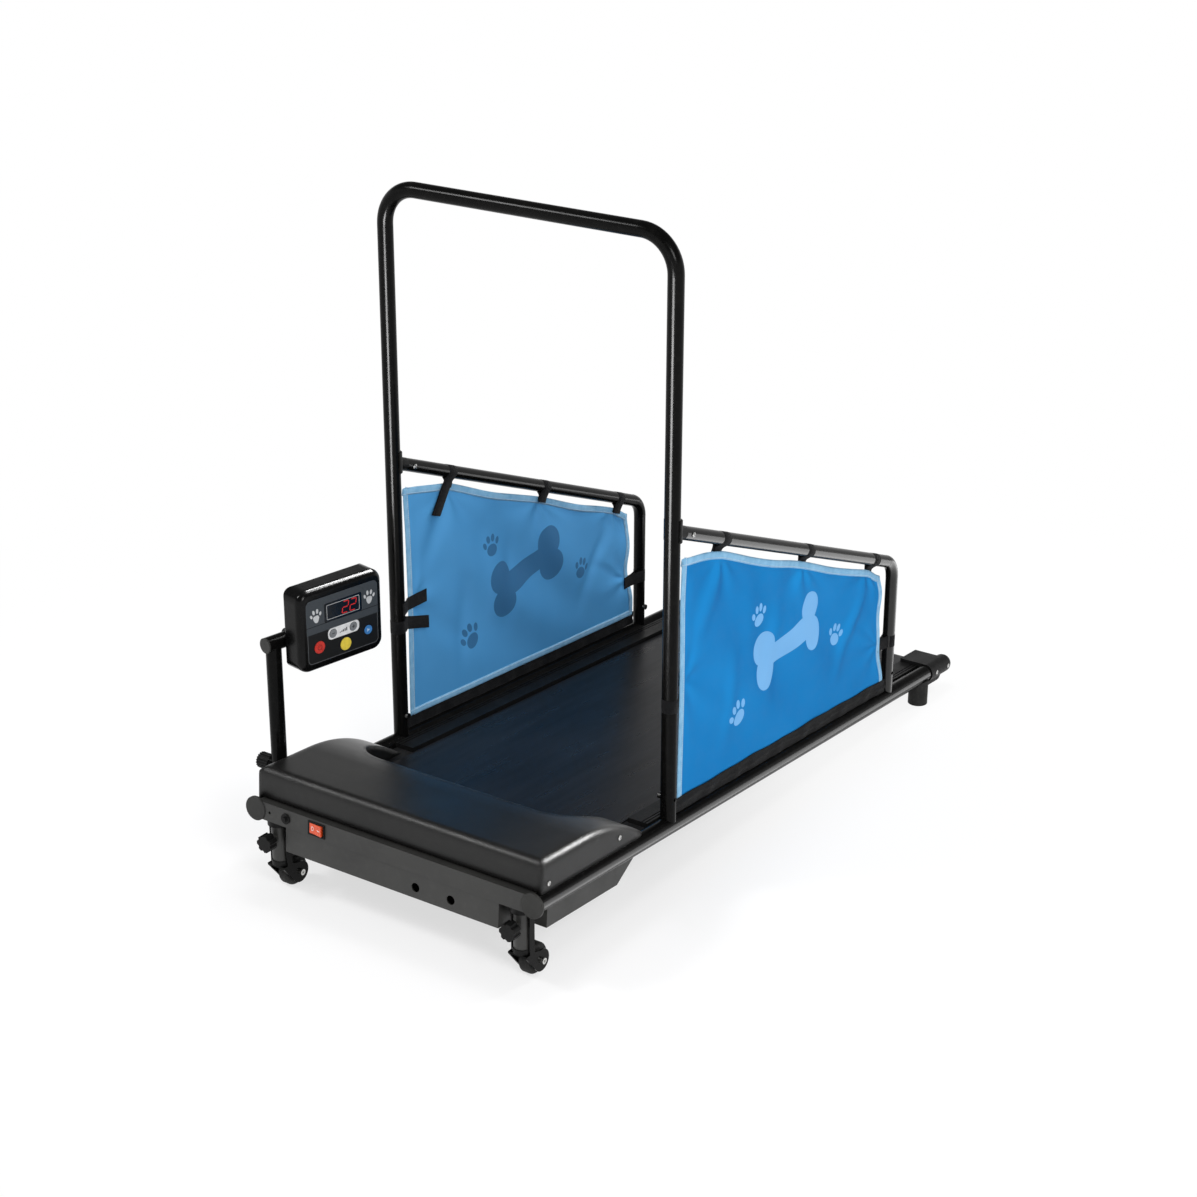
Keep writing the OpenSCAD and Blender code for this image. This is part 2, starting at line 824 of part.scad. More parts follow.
// Bearing blocks of both rollers: the front ones sit on the rails, the rear ones slide in the caps
module roller_bearings() {
    color("#3a3a38") in_base() both_sides() {
        difference() {
            tilt() translate([strip_out - bearing_t, front_roller_y, roller_z]) {
                translate([0, -bearing_w / 2, -bearing_h / 2])
                    cube([bearing_t + bearing_seat, bearing_w, bearing_h]);
            }
            rail_space();
            tilt() translate([0, front_roller_y, roller_z]) rod_x(shaft_d + 2 * run_fit, 2 * rail_gap);
        }
        tilt() difference() {
            translate([block_in + block_side, rear_roller_y - bearing_w / 2, roller_z - bearing_h / 2])
                cube([pocket_w - block_side - fit, bearing_w, bearing_h]);
            translate([0, rear_roller_y, roller_z]) rod_x(shaft_d + 2 * run_fit, 2 * rail_gap);
            translate([tension_x, rear_roller_y, roller_z]) rod_y(bolt_d + 2 * fit, bearing_w);
        }
    }
}

// Belt rollers on their shafts, and the pulley that drives the front one
module roller(y, shaft_x) {
    color("#8f9092") in_base() tilt() translate([0, y, roller_z]) {
        rod_x(roller_d, 2 * roller_x);
        rod_x(shaft_d, 2 * shaft_x);
    }
}
module front_roller() { roller(front_roller_y, strip_out); }
module rear_roller() { roller(rear_roller_y, tension_x - bolt_d / 2 - 2 * air); }
module ribbed_pulley(d) {
    difference() {
        rod_x(d, pulley_w);
        for (i = [-1 : 1]) translate([2 * i * pulley_groove, 0, 0]) difference() {
            rod_x(d + 2 * over, pulley_groove);
            rod_x(d - 2 * pulley_groove_depth, 2 * pulley_groove);
        }
    }
}
module roller_pulley() {
    color("#77787a") in_base() tilt() translate([pulley_x, front_roller_y, roller_z]) difference() {
        ribbed_pulley(pulley_d);
        rod_x(shaft_d + fit, 2 * pulley_w);
    }
}

// Motor on its cradle, with the shaft that carries the small pulley and the flywheel
module motor_body() {
    color("#3c3d3f") in_base() tilt() translate([motor_end, motor_y, motor_z]) difference() {
        union() {
            translate([-motor_neck - motor_len / 2, 0, 0]) rod_x(motor_d, motor_len);
            translate([-motor_neck, 0, 0]) rod_x(motor_neck_d, 2 * motor_neck);
        }
        rod_x(motor_shaft_d + 2 * run_fit, 2 * motor_shaft_in);
    }
}
module motor_mount() {
    floor_z = tray_wall - tray_depth;
    color("#2a2a28") in_base() tilt() difference() {
        translate([motor_end - motor_neck - (motor_len + cradle_len) / 2, motor_y - cradle_w / 2, floor_z])
            cube([cradle_len, cradle_w, cradle_h]);
        translate([motor_end, motor_y, motor_z]) rod_x(motor_d + 2 * fit, 4 * motor_len);
    }
}
module motor_rotor() {
    start = motor_end - motor_shaft_in + air;
    end = pulley_x + pulley_w / 2;
    color("#9a9b9d") in_base() tilt() translate([0, motor_y, motor_z]) {
        translate([(start + end) / 2, 0, 0]) rod_x(motor_shaft_d, end - start);
        translate([motor_end + motor_neck + 2 * air + flywheel_t / 2, 0, 0]) rod_x(flywheel_d, flywheel_t);
        translate([pulley_x, 0, 0]) ribbed_pulley(motor_pulley_d);
    }
}
// Loop round the two pulleys, the large one at the origin
module pulley_loop(grow) {
    hull() {
        circle(pulley_d / 2 + grow);
        translate([motor_y - front_roller_y, motor_z - roller_z]) circle(motor_pulley_d / 2 + grow);
    }
}
module drive_belt() {
    color("#151515") in_base() tilt() translate([pulley_x, front_roller_y, roller_z]) along_x(drive_w)
        difference() {
            pulley_loop(air + drive_t);
            pulley_loop(air);
        }
}

// Motor controller: a board on standoffs with a finned heat sink and a capacitor
module controller_board() {
    far = [pcb_size[0] - standoff_inset, pcb_size[1] - standoff_inset];
    color("#1f4a33") in_base() tilt() translate([pcb_x, pcb_y, tray_wall - tray_depth]) {
        translate([0, 0, standoff_h]) cube(pcb_size);
        for (x = [standoff_inset, far[0]], y = [standoff_inset, far[1]])
            translate([x, y, 0]) cylinder(d = standoff_d, h = standoff_h + pcb_size[2]);
        translate([standoff_inset, pcb_size[1] / 2, standoff_h]) {
            cube([sink_size[0], sink_size[1], sink_base]);
            for (i = [0 : sink_fins - 1]) translate([i * (sink_size[0] - sink_fin) / (sink_fins - 1), 0, 0])
                cube([sink_fin, sink_size[1], sink_size[2]]);
        }
        translate([can_x, pcb_size[1] / 2, standoff_h]) cylinder(d = can_d, h = can_h);
    }
}

// Motor tray hung under the rails and the beam, its front corners cut back round the legs
module tray_form(inset, top) {
    low = inset - tray_depth;
    intersection() {
        along_x(rail_gap) polygon([
            [tray_front + inset, top],
            [tray_front + inset, low],
            [tray_low_y - inset, low],
            [tray_rear - inset, tray_rear_z],
            [tray_rear - inset, top]
        ]);
        translate([0, 0, -2 * tray_depth]) linear_extrude(4 * tray_depth) polygon([
            for (side = [1, -1], i = [0 : 3]) let (
                k = side > 0 ? i : 3 - i,
                x = (k < 2 ? tray_notch_x : tray_x) - inset,
                y = [tray_front + inset, tray_notch_y + inset, tray_notch_y + inset, tray_rear - inset][k]
            ) [side * x, y]
        ]);
    }
}
module motor_tray() {
    color("#30312f") in_base() difference() {
        tilt() difference() {
            tray_form(0, board_low);
            tray_form(tray_wall, over);
            beam_shell();
            translate([-strip_in, front_roller_y, roller_z - belt_out_r - tray_belt_gap])
                cube([2 * strip_in, tray_rear, tray_depth]);
            for (x = outlet_xs) translate([x, tray_front - over, outlet_z])
                rod_y(outlet_d, tray_wall + 2 * over);
        }
        both_sides() rail_space();
    }
}

// Motor hood: one section run straight from the front, then swept down over the rear on a wide arc,
// trimmed to the front and top outlines and hollowed by the same form inset
module hood_nose(inset) {
    r = hood_edge - inset;
    low = hood_low - inset;
    foot = hood_front + inset / cos(hood_lean) - inset * tan(hood_lean);
    eye_y = hood_front + hood_edge / cos(hood_lean) - hood_crease + (hood_drop - hood_edge) * tan(hood_lean);
    eye_z = hood_h - hood_edge;
    intersection() {
        union() {
            translate([eye_y, eye_z]) circle(r);
            translate([eye_y, low]) square([hood_flat_y, eye_z + r - low]);
            translate([eye_y - r, low]) square([r, eye_z - low]);
        }
        polygon([
            [foot, low],
            [foot + 2 * hood_h * tan(hood_lean), low + 2 * hood_h],
            [2 * hood_flat_y, low + 2 * hood_h],
            [2 * hood_flat_y, low]
        ]);
    }
}
module hood_plan(inset) {
    difference() {
        translate([0, hood_tip_y - inset])
            soft_face(2 * (hood_x - inset), hood_tip_y - hood_front - 2 * inset, hood_edge - inset);
        translate([0, hood_tip_y + over]) soft_face(
            2 * (hood_notch_x + inset),
            hood_tip_y + over - hood_mid_y + inset,
            hood_notch_round + inset
        );
    }
}
module hood_form(inset) {
    w = 2 * (hood_x - inset);
    r = hood_edge - inset;
    intersection() {
        union() {
            intersection() {
                translate([0, 0, hood_low - inset]) along_y(hood_flat_y)
                    mirror([0, 1]) soft_face(w, hood_drop, r);
                along_x(w + 2 * over) hood_nose(inset);
            }
            translate([0, hood_flat_y, hood_h - hood_arc]) rotate([0, -90, 0])
                rotate_extrude(angle = hood_sweep)
                    translate([hood_arc - hood_drop - inset, 0]) rotate(90) soft_face(w, hood_drop, r);
        }
        translate([0, 0, hood_low - inset]) linear_extrude(hood_h) hood_plan(inset);
    }
}
module motor_hood() {
    color("#262625") in_base() difference() {
        tilt() difference() {
            hood_form(0);
            hood_form(hood_wall);
            translate([-rail_x, 0, 0]) cube([rail_gap, beam_depth, beam_h / 2 + hood_gap]);
            both_sides() for (place = hood_screws)
                translate([hood_x, place[0], place[1]]) rotate([0, 90, 0]) screw_hole();
        }
        both_sides() rail_space();
    }
}

// Switch bezel and housing, and the rocker that pivots in it, tipped to one side
module switch_frame() {
    inner = [for (size = switch_body) size - 2 * switch_wall];
    color("#141414") in_base() tilt() translate([switch_x, beam_y, 0]) difference() {
        union() {
            translate([0, -switch_flange, 0]) along_y(switch_flange) square(switch_size, center = true);
            along_y(switch_depth) square([for (size = switch_body) size - 2 * fit], center = true);
        }
        translate([0, -switch_depth - switch_wall, 0]) along_y(2 * switch_depth) square(inner, center = true);
        translate([0, rocker_pivot, 0])
            cylinder(d = rocker_pin_d + 2 * run_fit, h = 2 * switch_depth, center = true);
    }
}
module rocker() {
    pin_len = rocker_h + 2 * (air + rocker_pin_in);
    color("#e8502a") in_base() tilt() translate([switch_x, beam_y + rocker_pivot, 0])
        rotate([0, 0, -rocker_tip]) {
            linear_extrude(rocker_h, center = true) translate([0, -rocker_pivot]) polygon([
                [-rocker_half, -rocker_nose],
                [0, rocker_dip - rocker_nose],
                [rocker_half, -rocker_nose],
                [rocker_half * rocker_back_share, rocker_back],
                [-rocker_half * rocker_back_share, rocker_back]
            ]);
            cylinder(d = rocker_pin_d, h = pin_len, center = true);
        }
}

// Reset button and its housing beside the switch
module breaker_body() {
    color("#111111") in_base() tilt() translate([breaker_x, beam_y, 0]) difference() {
        union() {
            translate([0, -breaker_flange, 0]) rod_y(breaker_flange_d, breaker_flange);
            rod_y(breaker_d, breaker_depth);
        }
        translate([0, -breaker_flange - over, 0])
            rod_y(breaker_cap_d + 2 * run_fit, breaker_cap_in + breaker_travel + air + breaker_flange + over);
    }
}
module breaker_button() {
    color("#1b1b1b") in_base() tilt() translate([breaker_x, beam_y - breaker_cap_out, 0])
        rod_y(breaker_cap_d, breaker_cap_out + breaker_cap_in);
}

// Hand hoop: two posts, two bends and the top tube
module hoop_path(d) {
    straight = rail_x - hoop_bend;
    translate([0, hoop_y, hoop_h]) rod_x(d, 2 * straight);
    both_sides() {
        translate([rail_x, hoop_y, 0]) cylinder(d = d, h = hoop_h - hoop_bend);
        translate([straight, hoop_y, hoop_h - hoop_bend]) rotate([90, 0, 0])
            rotate_extrude(angle = 90) translate([hoop_bend, 0]) circle(d = d);
    }
}
module handle_hoop() {
    color("#1d1d1b") in_base() difference() {
        hoop_path(hoop_d);
        hoop_path(hoop_bore);
        both_sides() {
            translate([rail_x, hoop_y, 0]) cylinder(d = 2 * hoop_d, h = rail_h(hoop_y));
            rail_space();
            stud_hole(hoop_y);
        }
    }
}

// Side bar: a slope from the clip on the hoop, a bend a little fuller than the tube, and an upright
module along_bar(start) {
    translate([rail_x, hoop_y, bar_h]) rotate([-90 - bar_slope, 0, 0]) translate([0, 0, start]) children();
}
module bar_path(d, swell, more) {
    along_bar(clip_len - more) cylinder(d = d, h = bar_straight - clip_len + more + over);
    translate([rail_x, bar_eye_y, bar_eye_h]) rotate([90, 0, 90])
        rotate_extrude(angle = bar_turn) translate([bar_bend, 0]) circle(d = d + 2 * swell);
    translate([rail_x, bar_y, rail_h(bar_y) - more])
        cylinder(d = d, h = bar_eye_h - rail_h(bar_y) + more + over);
}
module bar_screw_place(side) { along_bar(bar_screw_at) rotate([0, side * 90, 0]) children(); }
module side_bar(side) {
    color("#1f1f1d") in_base() to_side(side) difference() {
        bar_path(bar_d, bar_swell, 0);
        bar_path(bar_bore, -bar_swell, over);
        rail_space();
        stud_hole(bar_y);
        for (turn = [-1, 1]) bar_screw_place(turn) translate([0, 0, bar_d / 2]) screw_hole();
    }
}
module left_side_bar() { side_bar(-1); }
module right_side_bar() { side_bar(1); }

// Clips: a half saddle on the hoop's post with a spigot inside each side bar
module bar_clips() {
    color("#121212") in_base() both_sides() difference() {
        union() {
            intersection() {
                translate([rail_x, hoop_y, bar_h - clip_h / 2])
                    cylinder(d = hoop_d + 2 * clip_wall, h = clip_h);
                translate([0, hoop_y, 0]) cube([rail_gap, rail_gap, hoop_h]);
            }
            along_bar(0) cylinder(d = bar_d, h = clip_len);
            along_bar(0) cylinder(d = bar_bore - 2 * fit, h = clip_len + clip_spigot);
        }
        translate([rail_x, hoop_y, 0]) cylinder(d = hoop_d + 2 * fit, h = hoop_h);
        for (turn = [-1, 1]) bar_screw_place(turn) translate([0, 0, bar_d / 2]) screw_hole();
    }
}

// Screws of the hood, the end caps and the side bars, all of one kind
module cover_screws() {
    color("#c4c4c0") in_base() both_sides() {
        tilt() {
            for (place = hood_screws) translate([hood_x, place[0], place[1]]) rotate([0, 90, 0]) screw();
            for (y = cap_screw_ys) translate([rail_x + cap_r - cap_screw_seat, cap_y + y, 0])
                rotate([0, 90, 0]) screw();
        }
        for (turn = [-1, 1]) bar_screw_place(turn) translate([0, 0, bar_d / 2]) screw();
    }
}
// Bolts of the hoop, the bar uprights and the rear roller's tension, all of one kind
module post_bolt(y, d) {
    translate([rail_x - d / 2, y, rail_h(y) + rail_r + stud_bolt_h]) rotate([0, -90, 0]) bolt();
}
module frame_bolts() {
    color("#3b3b39") in_base() both_sides() {
        post_bolt(hoop_y, hoop_d);
        post_bolt(bar_y, bar_d);
        tilt() translate([tension_x, cap_y + block_len - tension_sink, roller_z]) rotate([-90, 0, 0]) bolt();
    }
}

// Fabric screen below a side bar: a sheet whose slanting folds fade out at its edges
function screen_point(u, v, off) = let (
    rear = bar_y - screen_rear_low - v * (screen_rear_top - screen_rear_low),
    y = screen_y + u * (rear - screen_y),
    low = rail_h(y) + screen_low,
    front_sag = screen_droop * pow(max(0, 1 - u / droop_share), 1.25),
    rear_sag = screen_rear_droop * max(0, 1 - (1 - u) / rear_droop_share),
    top = bar_axis_h(y) - screen_top - front_sag - rear_sag,
    fade = pow(sin(180 * u) * sin(180 * v), 2),
    fold = fold_depth * fade * sin(360 * fold_waves * (u + fold_slant_share * v))
) [rail_x + fold + off * screen_t, y, low + v * (top - low)];
module screen(side) {
    across = screen_cols + 1;
    layer = across * (screen_rows + 1);
    points = [
        for (off = [-0.5, 0.5], j = [0 : screen_rows], i = [0 : screen_cols])
            screen_point(i / screen_cols, j / screen_rows, off)
    ];
    cells = [
        for (j = [0 : screen_rows - 1], i = [0 : screen_cols - 1]) let (a = j * across + i)
            [a, a + 1, a + across + 1, a + across]
    ];
    rim = concat(
        [for (i = [0 : screen_cols - 1]) i],
        [for (j = [0 : screen_rows - 1]) j * across + screen_cols],
        [for (i = [screen_cols : -1 : 1]) screen_rows * across + i],
        [for (j = [screen_rows : -1 : 1]) j * across]
    );
    faces = concat(
        [for (c = cells, k = [0, 2]) [c[k], c[k + 1], c[(k + 2) % 4]]],
        [for (c = cells, k = [0, 2]) [layer + c[k], layer + c[(k + 2) % 4], layer + c[k + 1]]],
        [for (i = [0 : len(rim) - 1], k = [0, 1]) let (a = rim[i], b = rim[(i + 1) % len(rim)])
            k == 0 ? [a, a + layer, b] : [b, a + layer, b + layer]]
    );
    color("#1a80c8") in_base() to_side(side) polyhedron(points, faces);
}
module left_screen() { screen(-1); }
module right_screen() { screen(1); }

// Straps: loops round the bar, the post and the upright, with tails on the screen's inner face, and
// a second post strap that grips only the post's inner rear quarter
module strap(d, reach) {
    bore = d + 2 * fit;
    translate([0, 0, -strap_w / 2]) ring(bore, strap_t, strap_w);
    translate([-screen_t / 2 - strap_gap - strap_t, bore / 2, -strap_w / 2])
        cube([strap_t, reach - bore / 2, strap_w]);
}
module screen_straps() {
    post_reach = screen_front + post_strap_tail;
    post_strap_h = rail_h(hoop_y) + post_strap_share * (bar_h - rail_h(hoop_y));
    upright_strap_h = rail_h(bar_y) + upright_strap_share * (bar_low_h - rail_h(bar_y));
    rear_edge = screen_rear_low + upright_strap_share * (screen_rear_top - screen_rear_low);
    color("#16171a") in_base() both_sides() {
        for (i = [0 : len(bar_strap_shares) - 1]) along_bar(bar_strap_shares[i] * bar_run)
            strap(bar_d, screen_top * cos(bar_slope) + (i == 0 ? strap_tail : strap_lap));
        translate([rail_x, hoop_y, post_strap_h]) {
            strap(hoop_d, post_reach);
            translate([0, 0, post_strap_rise]) intersection() {
                strap(hoop_d, post_reach);
                translate([-hoop_d, 0, -strap_w]) cube([hoop_d, 2 * post_reach, 2 * strap_w]);
            }
        }
        translate([rail_x, bar_y, upright_strap_h]) mirror([0, 1, 0])
            strap(bar_d, rear_edge + upright_strap_tail);
    }
}

// Plate on the left rail that carries the console's arm
module arm_bracket() {
    color("#20201e") in_base() difference() {
        translate([plate_t / 2 - plate_x, arm_y, pivot_h]) along_x(plate_t) {
            circle(d = plate_w);
            translate([-plate_w / 2, plate_foot - pivot_rise]) square([plate_w, pivot_rise - plate_foot]);
        }
        translate([-arm_x, arm_y, pivot_h]) rod_x(pivot_d + 2 * run_fit, 2 * arm_x);
        to_side(-1) rail_space();
    }
}
// Ribbed clamp knob whose stud runs through the arm's eye and the plate
module arm_knob() {
    stud_end = plate_x - plate_t;
    color("#131313") in_base() translate([0, arm_y, pivot_h]) {
        translate([-(stud_end + knob_x + knob_neck) / 2, 0, 0]) rod_x(pivot_d, knob_x + knob_neck - stud_end);
        translate([-knob_x - knob_neck / 2, 0, 0]) rod_x(knob_neck_d, knob_neck);
        translate([-knob_x - knob_neck - knob_len / 2, 0, 0]) along_x(knob_len) {
            circle(d = knob_d - knob_rib_d);
            for (i = [0 : knob_ribs - 1]) rotate(i * 360 / knob_ribs)
                translate([(knob_d - knob_rib_d) / 2, 0]) circle(d = knob_rib_d);
        }
    }
}

// Console arm: an eye on the clamp stud, an upright tube and the tee tube that carries the console
module console_arm() {
    rise = tee_h - pivot_h;
    color("#1e1e1c") in_base() difference() {
        union() {
            translate([-arm_x, arm_y, pivot_h]) {
                rod_x(eye_d, arm_d);
                cylinder(d = arm_d, h = rise);
            }
            at_tee() translate([tee_len / 2 - tee_front, 0, 0]) rod_x(arm_d, tee_len);
        }
        translate([-arm_x, arm_y, pivot_h]) rod_x(pivot_d + 2 * run_fit, 2 * arm_d);
        translate([-arm_x, arm_y, pivot_h + eye_d / 2])
            cylinder(d = arm_d - 2 * arm_wall, h = rise - eye_d / 2);
        at_tee() translate([tee_len / 2 - tee_front, 0, 0]) rod_x(arm_d - 2 * arm_wall, tee_len + 2 * over);
    }
}
// Plugs in the tee tube's ends
module tee_plugs() {
    color("#0f0f0f") in_base() at_tee() translate([tee_len / 2 - tee_front, 0, 0]) for (end = [-1, 1]) {
        translate([end * (tee_len + plug_t) / 2, 0, 0]) rod_x(arm_d, plug_t);
        translate([end * (tee_len - plug_in) / 2, 0, 0])
            rod_x(arm_d - 2 * arm_wall - 2 * fit, plug_in + plug_t);
    }
}

// Console shell from y = 0 to a depth: its front, top and side outlines crossed, the far edges round
module shell_form(depth, edge, inset) {
    w = console_w - 2 * inset;
    h = console_h - 2 * inset;
    intersection() {
        translate([0, -depth, 0]) along_y(depth) rounded(w, h, console_round - inset);
        linear_extrude(h, center = true) soft_face(w, depth, edge);
        along_x(w) rotate(-90) soft_face(h, depth, edge);
    }
}
module shell(depth, edge, wall) {
    difference() {
        shell_form(depth, edge, 0);
        translate([0, over, 0]) shell_form(depth - wall + over, edge - shell_wall, shell_wall);
    }
}
module clamp_bore() {
    translate([0, back_off, -console_rise]) rod_x(arm_d + 2 * run_fit, 2 * console_w);
}
module console_back() {
    clamp_d = arm_d + 2 * run_fit + 2 * clamp_wall;
    color("#222324") in_base() at_console() {
        translate([0, -back_depth, 0]) mirror([0, 1, 0]) shell(back_depth, back_round, shell_wall);
        for (share = clamp_shares) translate([share * console_w, 0, 0]) difference() {
            union() {
                translate([0, back_off, -console_rise]) rod_x(clamp_d, clamp_w);
                translate([-clamp_w / 2, -shell_wall / 2, -console_rise - clamp_d / 2])
                    cube([clamp_w, back_off + shell_wall / 2, clamp_d]);
            }
            clamp_bore();
        }
    }
}
module console_front() {
    color("#26282a") in_base() difference() {
        at_console() translate([0, -back_depth, 0])
            shell(console_depth - back_depth, console_edge, face_wall);
        on_face([0, 0]) translate([0, -over, 0]) along_y(overlay_t + over)
            rounded(overlay_w + 2 * fit, overlay_h + 2 * fit, overlay_round + fit);
        on_face(window_place) along_y(window_t)
            rounded(window_size[0] + 2 * fit, window_size[1] + 2 * fit, window_round + fit);
        for (button = buttons) on_face(button[0]) rod_y(button[1] + 2 * run_fit, face_wall + over);
    }
}

// Printed overlay set in the console's face, and the display window set in the overlay
module console_overlay() {
    color("#3d444c") in_base() difference() {
        on_face([0, 0]) along_y(overlay_t) rounded(overlay_w, overlay_h, overlay_round);
        on_face(window_place) translate([0, -over, 0]) along_y(overlay_t + 2 * over)
            rounded(window_size[0] + 2 * fit, window_size[1] + 2 * fit, window_round + fit);
        for (button = buttons) on_face(button[0]) translate([0, -over, 0])
            rod_y(button[1] + 2 * air, overlay_t + 2 * over);
    }
}
module display_window() {
    color("#0a0b0d") in_base() on_face(window_place) along_y(window_t)
        rounded(window_size[0], window_size[1], window_round);
}

// Circuit board behind the console's face, on four posts
module console_board() {
    w = console_w - 2 * (shell_wall + panel_side);
    h = console_h - 2 * (shell_wall + panel_side);
    color("#245236") in_base() on_face([0, 0]) {
        translate([-w / 2, face_wall + panel_gap, -h / 2]) cube([w, panel_t, h]);
        for (x = [-1, 1], z = [-1, 1])
            translate([x * (w / 2 - panel_post_d), face_wall, z * (h / 2 - panel_post_d)])
                rod_y(panel_post_d, panel_gap + panel_t / 2);
    }
}

// Push buttons: a cap through the face and a lip behind it
module button(place, d) {
    on_face(place) {
        translate([0, -button_out, 0]) rod_y(d, button_out + face_wall + fit + button_lip_t);
        translate([0, face_wall + fit, 0]) rod_y(d + 2 * button_lip, button_lip_t);
    }
}
module power_button() { color("#c8281e") in_base() button(power_place, power_d); }
module minus_button() { color("#8d9298") in_base() button(minus_place, step_d); }
module plus_button() { color("#8d9298") in_base() button(plus_place, step_d); }
module yellow_button() { color("#e2c21c") in_base() button(yellow_place, yellow_d); }
module blue_button() { color("#2f86c9") in_base() button(blue_place, blue_d); }

left_rail();
right_rail();
end_discs();
front_beam();
leg_rings();
cross_braces();
deck_board();
running_belt();
left_foot_strip();
right_foot_strip();
left_end_cap();
right_end_cap();
rear_feet();
roller_bearings();
front_roller();
roller_pulley();
rear_roller();
motor_tray();
motor_hood();
motor_body();
motor_mount();
motor_rotor();
drive_belt();
controller_board();
switch_frame();
rocker();
breaker_body();
breaker_button();
left_leg();
right_leg();
left_axle();
right_axle();
left_wheel();
right_wheel();
left_leg_knob();
right_leg_knob();
handle_hoop();
frame_bolts();
cover_screws();
left_side_bar();
right_side_bar();
bar_clips();
left_screen();
right_screen();
screen_straps();
arm_bracket();
arm_knob();
console_arm();
tee_plugs();
console_back();
console_front();
console_overlay();
display_window();
console_board();
power_button();
minus_button();
plus_button();
yellow_button();
blue_button();
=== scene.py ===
import math

import bmesh
import bpy
from mathutils import Matrix, Vector
from mathutils.geometry import tessellate_polygon


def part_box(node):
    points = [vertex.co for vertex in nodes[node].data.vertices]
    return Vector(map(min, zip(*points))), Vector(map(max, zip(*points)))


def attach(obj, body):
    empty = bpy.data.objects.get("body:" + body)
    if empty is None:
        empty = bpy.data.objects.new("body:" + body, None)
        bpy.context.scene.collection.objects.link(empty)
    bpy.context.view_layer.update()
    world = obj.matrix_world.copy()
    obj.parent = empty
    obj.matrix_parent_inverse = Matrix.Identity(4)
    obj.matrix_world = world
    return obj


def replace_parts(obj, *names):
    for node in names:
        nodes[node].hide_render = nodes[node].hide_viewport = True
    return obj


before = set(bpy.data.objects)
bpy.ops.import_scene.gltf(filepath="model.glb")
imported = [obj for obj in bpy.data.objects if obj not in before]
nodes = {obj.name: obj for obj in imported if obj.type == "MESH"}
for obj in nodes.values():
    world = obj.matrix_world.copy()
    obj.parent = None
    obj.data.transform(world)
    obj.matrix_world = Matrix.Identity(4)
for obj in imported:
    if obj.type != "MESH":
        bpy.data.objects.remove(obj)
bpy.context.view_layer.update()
print("frame loaded,", len(nodes), "nodes")

# the treadmill's own places in metres: x from its mid-plane, y from the front discs, z from the floor
machine = {
    "railX": 0.2685, "frontH": 0.1425, "incline": math.radians(4.2037), "hoopY": 0.366, "hoopR": 0.0127,
    "barH": 0.613, "barLowH": 0.324, "barY": 1.090, "barR": 0.011,
}
midX = (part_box("left_rail")[0].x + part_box("right_rail")[1].x) / 2
midY = sum(corner.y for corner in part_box("handle_hoop")) / 2 - machine["hoopY"]
barRun = machine["barY"] - machine["hoopY"]
barSlope = math.atan((machine["barH"] - machine["barLowH"]) / barRun)


def railHeight(y):
    return machine["frontH"] - y * math.tan(machine["incline"])


def barHeight(y):
    return machine["barH"] - (y - machine["hoopY"]) * math.tan(barSlope)


def toRow(point, side=1):  # from the machine's own places to the shared frame
    return Vector((side * point[0] + midX, point[1] + midY, point[2]))


def onDeck(x, y, z):  # a place in the tilted deck's own axes
    turn = machine["incline"]
    rise = machine["frontH"] - y * math.sin(turn) + z * math.cos(turn)
    return Vector((x, y * math.cos(turn) + z * math.sin(turn), rise))


def ramp(x, low, high):  # a smooth step from 0 to 1
    t = min(max((x - low) / (high - low), 0.0), 1.0)
    return t * t * (3 - 2 * t)


def turnOf(degrees):
    return math.cos(math.radians(degrees)), math.sin(math.radians(degrees))


# node helpers for the finishes
def addNode(tree, kind, sockets=None, **settings):
    node = tree.nodes.new(kind)
    for name, value in settings.items():
        setattr(node, name, value)
    for name, value in (sockets or {}).items():
        node.inputs[name].default_value = value
    return node


def feed(tree, value, socket):  # a link from a node, or else a plain setting
    if isinstance(value, bpy.types.NodeSocket):
        tree.links.new(value, socket)
    else:
        socket.default_value = value


def joinAll(tree, *pairs):
    for source, target in pairs:
        tree.links.new(source, target)


def newFinish(name):
    finish = bpy.data.materials.new(name)
    finish.use_nodes = True
    tree = finish.node_tree
    return finish, tree, tree.nodes["Principled BSDF"]


def objectPoint(tree):
    return addNode(tree, "ShaderNodeTexCoord").outputs["Object"]


def cutPoint(tree):
    return addNode(tree, "ShaderNodeUVMap", uv_map="cut").outputs["UV"]


noiseSpan = {"From Min": 0.3, "From Max": 0.7}  # where most of the noise lies


def cloud(tree, where, scale, detail, low=0.0, high=1.0):  # soft noise spread between two values
    noise = addNode(tree, "ShaderNodeTexNoise", {"Scale": scale, "Detail": detail})
    spread = addNode(tree, "ShaderNodeMapRange", {**noiseSpan, "To Min": low, "To Max": high})
    tree.links.new(where, noise.inputs["Vector"])
    tree.links.new(noise.outputs[0], spread.inputs["Value"])
    return spread.outputs["Result"]


waveScale = 0.31416  # the wave node's scale at one band to the metre


def bands(tree, where, direction, period):
    wave = addNode(tree, "ShaderNodeTexWave", {"Scale": waveScale / period}, bands_direction=direction)
    tree.links.new(where, wave.inputs["Vector"])
    return wave.outputs["Fac"]


def blendColours(tree, factor, first, second):
    mix = addNode(tree, "ShaderNodeMix", data_type="RGBA")
    for index, value in ((0, factor), (6, first), (7, second)):  # the mix node's colour sockets
        plain = isinstance(value, (bpy.types.NodeSocket, float))
        feed(tree, value if plain else (*value, 1.0), mix.inputs[index])
    return mix.outputs[2]


def sums(tree, operation, first, second, clamp=False):
    node = addNode(tree, "ShaderNodeMath", operation=operation, use_clamp=clamp)
    feed(tree, first, node.inputs[0])
    feed(tree, second, node.inputs[1])
    return node.outputs[0]


